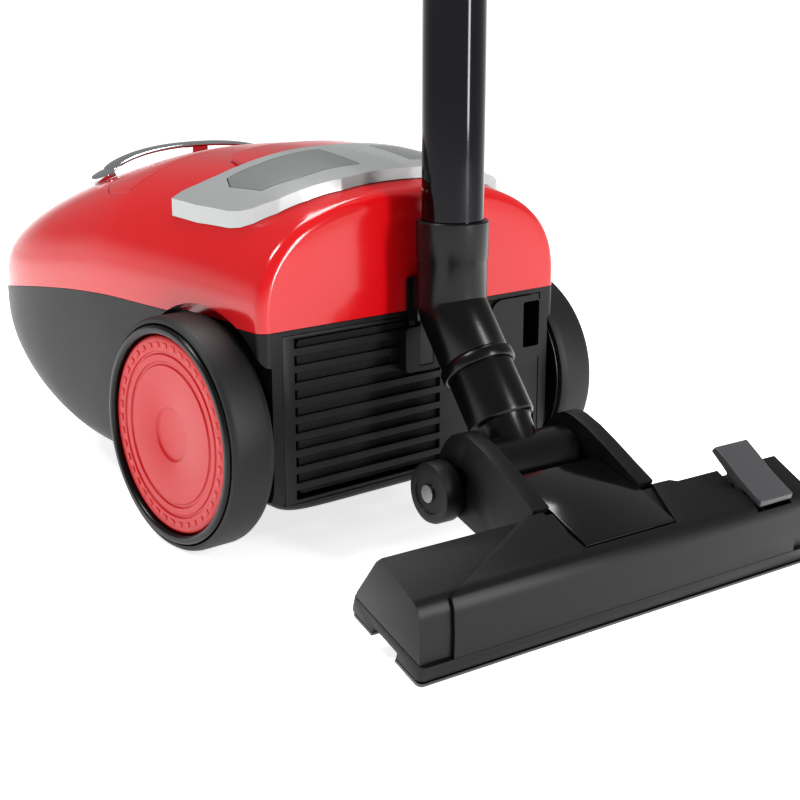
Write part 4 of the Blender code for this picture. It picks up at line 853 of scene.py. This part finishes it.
# %% Head base, pedal and wheels
edge = HALF - 0.0008
base_plan = mirrored([(0, 0.0006), (edge - 0.003, 0.0006), (edge - 0.0009, 0.0015), (edge, 0.0036),
                      (edge, 0.0570), (edge - 0.0009, 0.0591), (edge - 0.003, 0.0600), (0, 0.0600)])
base = head_plan("head_base_skin", base_plan, 0.0019, 0.0106)
boolean(base, head_box("mouth", (-0.118, 0.118), MOUTH, (-0.01, 0.02)))
boolean(base, head_box("brush_slot", (-0.124, 0.124), BRUSH_SLOT, (-0.01, 0.02)))
for side in (-1, 1):
    low, high = sorted((side * (HALF - 0.012), side * (HALF + 0.01)))
    boolean(base, head_box("edge_notch", (low, high), (0.020, 0.040), (-0.01, 0.0052)))
soften(base, 0.0005)
place(base, HEAD, black_abs, "head", "housing_plastic", ["head_base"])

pedal = head_slab("rocker_pedal_skin", [(0.012, 0.0385), (0.012, 0.0425), (0.018, 0.0436), (0.0300, 0.0465),
                                        (0.042, 0.0505), (0.052, 0.0535), (0.054, 0.0495), (0.0400, 0.0440),
                                        (0.0365, 0.0350), (0.0295, 0.0350), (0.0280, 0.0410)], 0.091, 0.117)
boolean(pedal, across("pin_hole", 0.0021, 0.074, 0.06, 0.0330, 0.0380))
soften(pedal, 0.0009, 3)
place(pedal, HEAD, rocker_abs, "rocker", "pedal_grey", ["rocker_pedal"])

for side, label in ((-1, "left"), (1, "right")):
    hub = HEAD @ Matrix.Translation((side * 0.0432, 0.113 - PIVOT_S, 0.0158 - PIVOT_H)) @ facing((side, 0, 0))
    r, w = 0.0170, 0.012
    profile = [(0.0033, 0), (r - 0.0015, 0), (r - 0.0004, 0.0004), (r, 0.0015), (r, w - 0.0020),
               (r - 0.0006, w - 0.0006), (r - 0.0020, w), (r - 0.0055, w), (r - 0.0060, w - 0.0010),
               (0.0033, w - 0.0010)]
    wheel = spin(label + "_small_wheel_disc", profile, 64)
    smooth(wheel, 30)
    place(wheel, hub, rubber, label + "_small_wheel", "tyre_rubber", [label + "_head_wheel"])

# %% [markdown]
# The carry handle is one chromed arch: its ring of points is bent along the nose and closed at both
# ends, then a post and two feet are joined to it and the red surface is cut away beneath.

# %% Handle, hose socket and castor
HANDLE_Y, HANDLE_HALF = 0.178, 0.070
HANDLE_LIFT, HANDLE_RISE = 0.0035, 0.0080
deselect()
around, stations = 32, 64
bpy.ops.mesh.primitive_grid_add(x_subdivisions=around, y_subdivisions=stations, size=1)
handle = bpy.context.object
handle.name = "handle_arch"
for index, vertex in enumerate(handle.data.vertices):
    row, column = divmod(index, around + 1)
    share = -math.cos(math.pi * row / stations)
    turn = 2 * math.pi * column / around
    x = HANDLE_HALF * share
    bow = math.sqrt(max(1 - share ** 2, 0.0))
    full = min(bow / 0.16, 1.0) ** 0.5
    z = shell_z(x, HANDLE_Y) + HANDLE_LIFT + HANDLE_RISE * bow ** 0.7
    vertex.co = (x, HANDLE_Y + 0.0075 * full * math.cos(turn), z + 0.0020 * full * math.sin(turn))
bpy.ops.object.mode_set(mode="EDIT")
tidy_mesh(handle)
top = shell_z(0, HANDLE_Y)
boolean(handle, box("post", (-0.006, 0.006), (HANDLE_Y - 0.005, HANDLE_Y + 0.005),
                    (top - 0.001, top + HANDLE_LIFT + HANDLE_RISE)), "UNION")
for side in (-1, 1):
    foot = shell_z(HANDLE_HALF, HANDLE_Y) - 0.004
    boolean(handle, disc_tool("foot", 0.0080, (side * HANDLE_HALF, HANDLE_Y, foot), (side * 0.45, 0, 1),
                              0.009, 48), "UNION")
boolean(handle, body_form("under", -GAP))
soften(handle, 0.0005, 2, 40)
place(handle, BODY, chrome, "canister", "chrome", ["carry_handle"])

profile = [(0.017, -0.046), (0.0200, -0.046), (0.0200, -0.0105), (0.0240, -0.0095), (0.0240, 0.0030),
           (0.0225, 0.0045), (0.018, 0.0045), (0.017, 0.0035)]
socket = spin("hose_socket_ring", profile, 96)
soften(socket, 0.0004)
place(socket, BODY @ SOCKET, satin_abs, "canister", "black_gloss", ["hose_socket"])

r, half_w = 0.0128, 0.007
roller = spin("castor_tyre", [(0.0022, -half_w), (r - 0.0025, -half_w), (r - 0.0007, -half_w + 0.0007),
                              (r, -half_w + 0.0025), (r, half_w - 0.0025), (r - 0.0007, half_w - 0.0007),
                              (r - 0.0025, half_w), (0.0022, half_w)], 64)
smooth(roller, 30)
place(roller, BODY @ Matrix.Translation((0, 0.177, r)) @ facing((1, 0, 0)), nylon, "castor_roller",
      "castor_grey", ["castor_wheel"])

# %% [markdown]
# The rear panel faces the camera past the tube: a plate with ten slots, the cable outlet beside
# them, and the pocket that takes the tube's hook.

# %% Rear panel
FACE = REAR_Y + GAP
plate = box("grille_plate", (-PANEL_HALF, PANEL_HALF), (FACE, FACE + 0.003), (PANEL_LOW, PANEL_HIGH))
SLOTS = 10
for k in range(SLOTS):
    z = PANEL_LOW + (PANEL_HIGH - PANEL_LOW) / SLOTS * (k + 0.5)
    boolean(plate, box("slot", (-0.092, 0.016), (FACE - 0.01, FACE + 0.01), (z - 0.0028, z + 0.0028)))
boolean(plate, box("cable_hole", (0.083, 0.099), (FACE - 0.01, FACE + 0.01), (0.094, 0.125)))
boolean(plate, box("vent", (0.086, 0.097), (FACE - 0.01, FACE + 0.01), (0.043, 0.056)))
soften(plate, 0.0006, 3)
place(plate, BODY, black_abs, "canister", "housing_plastic", ["rear_grille"])
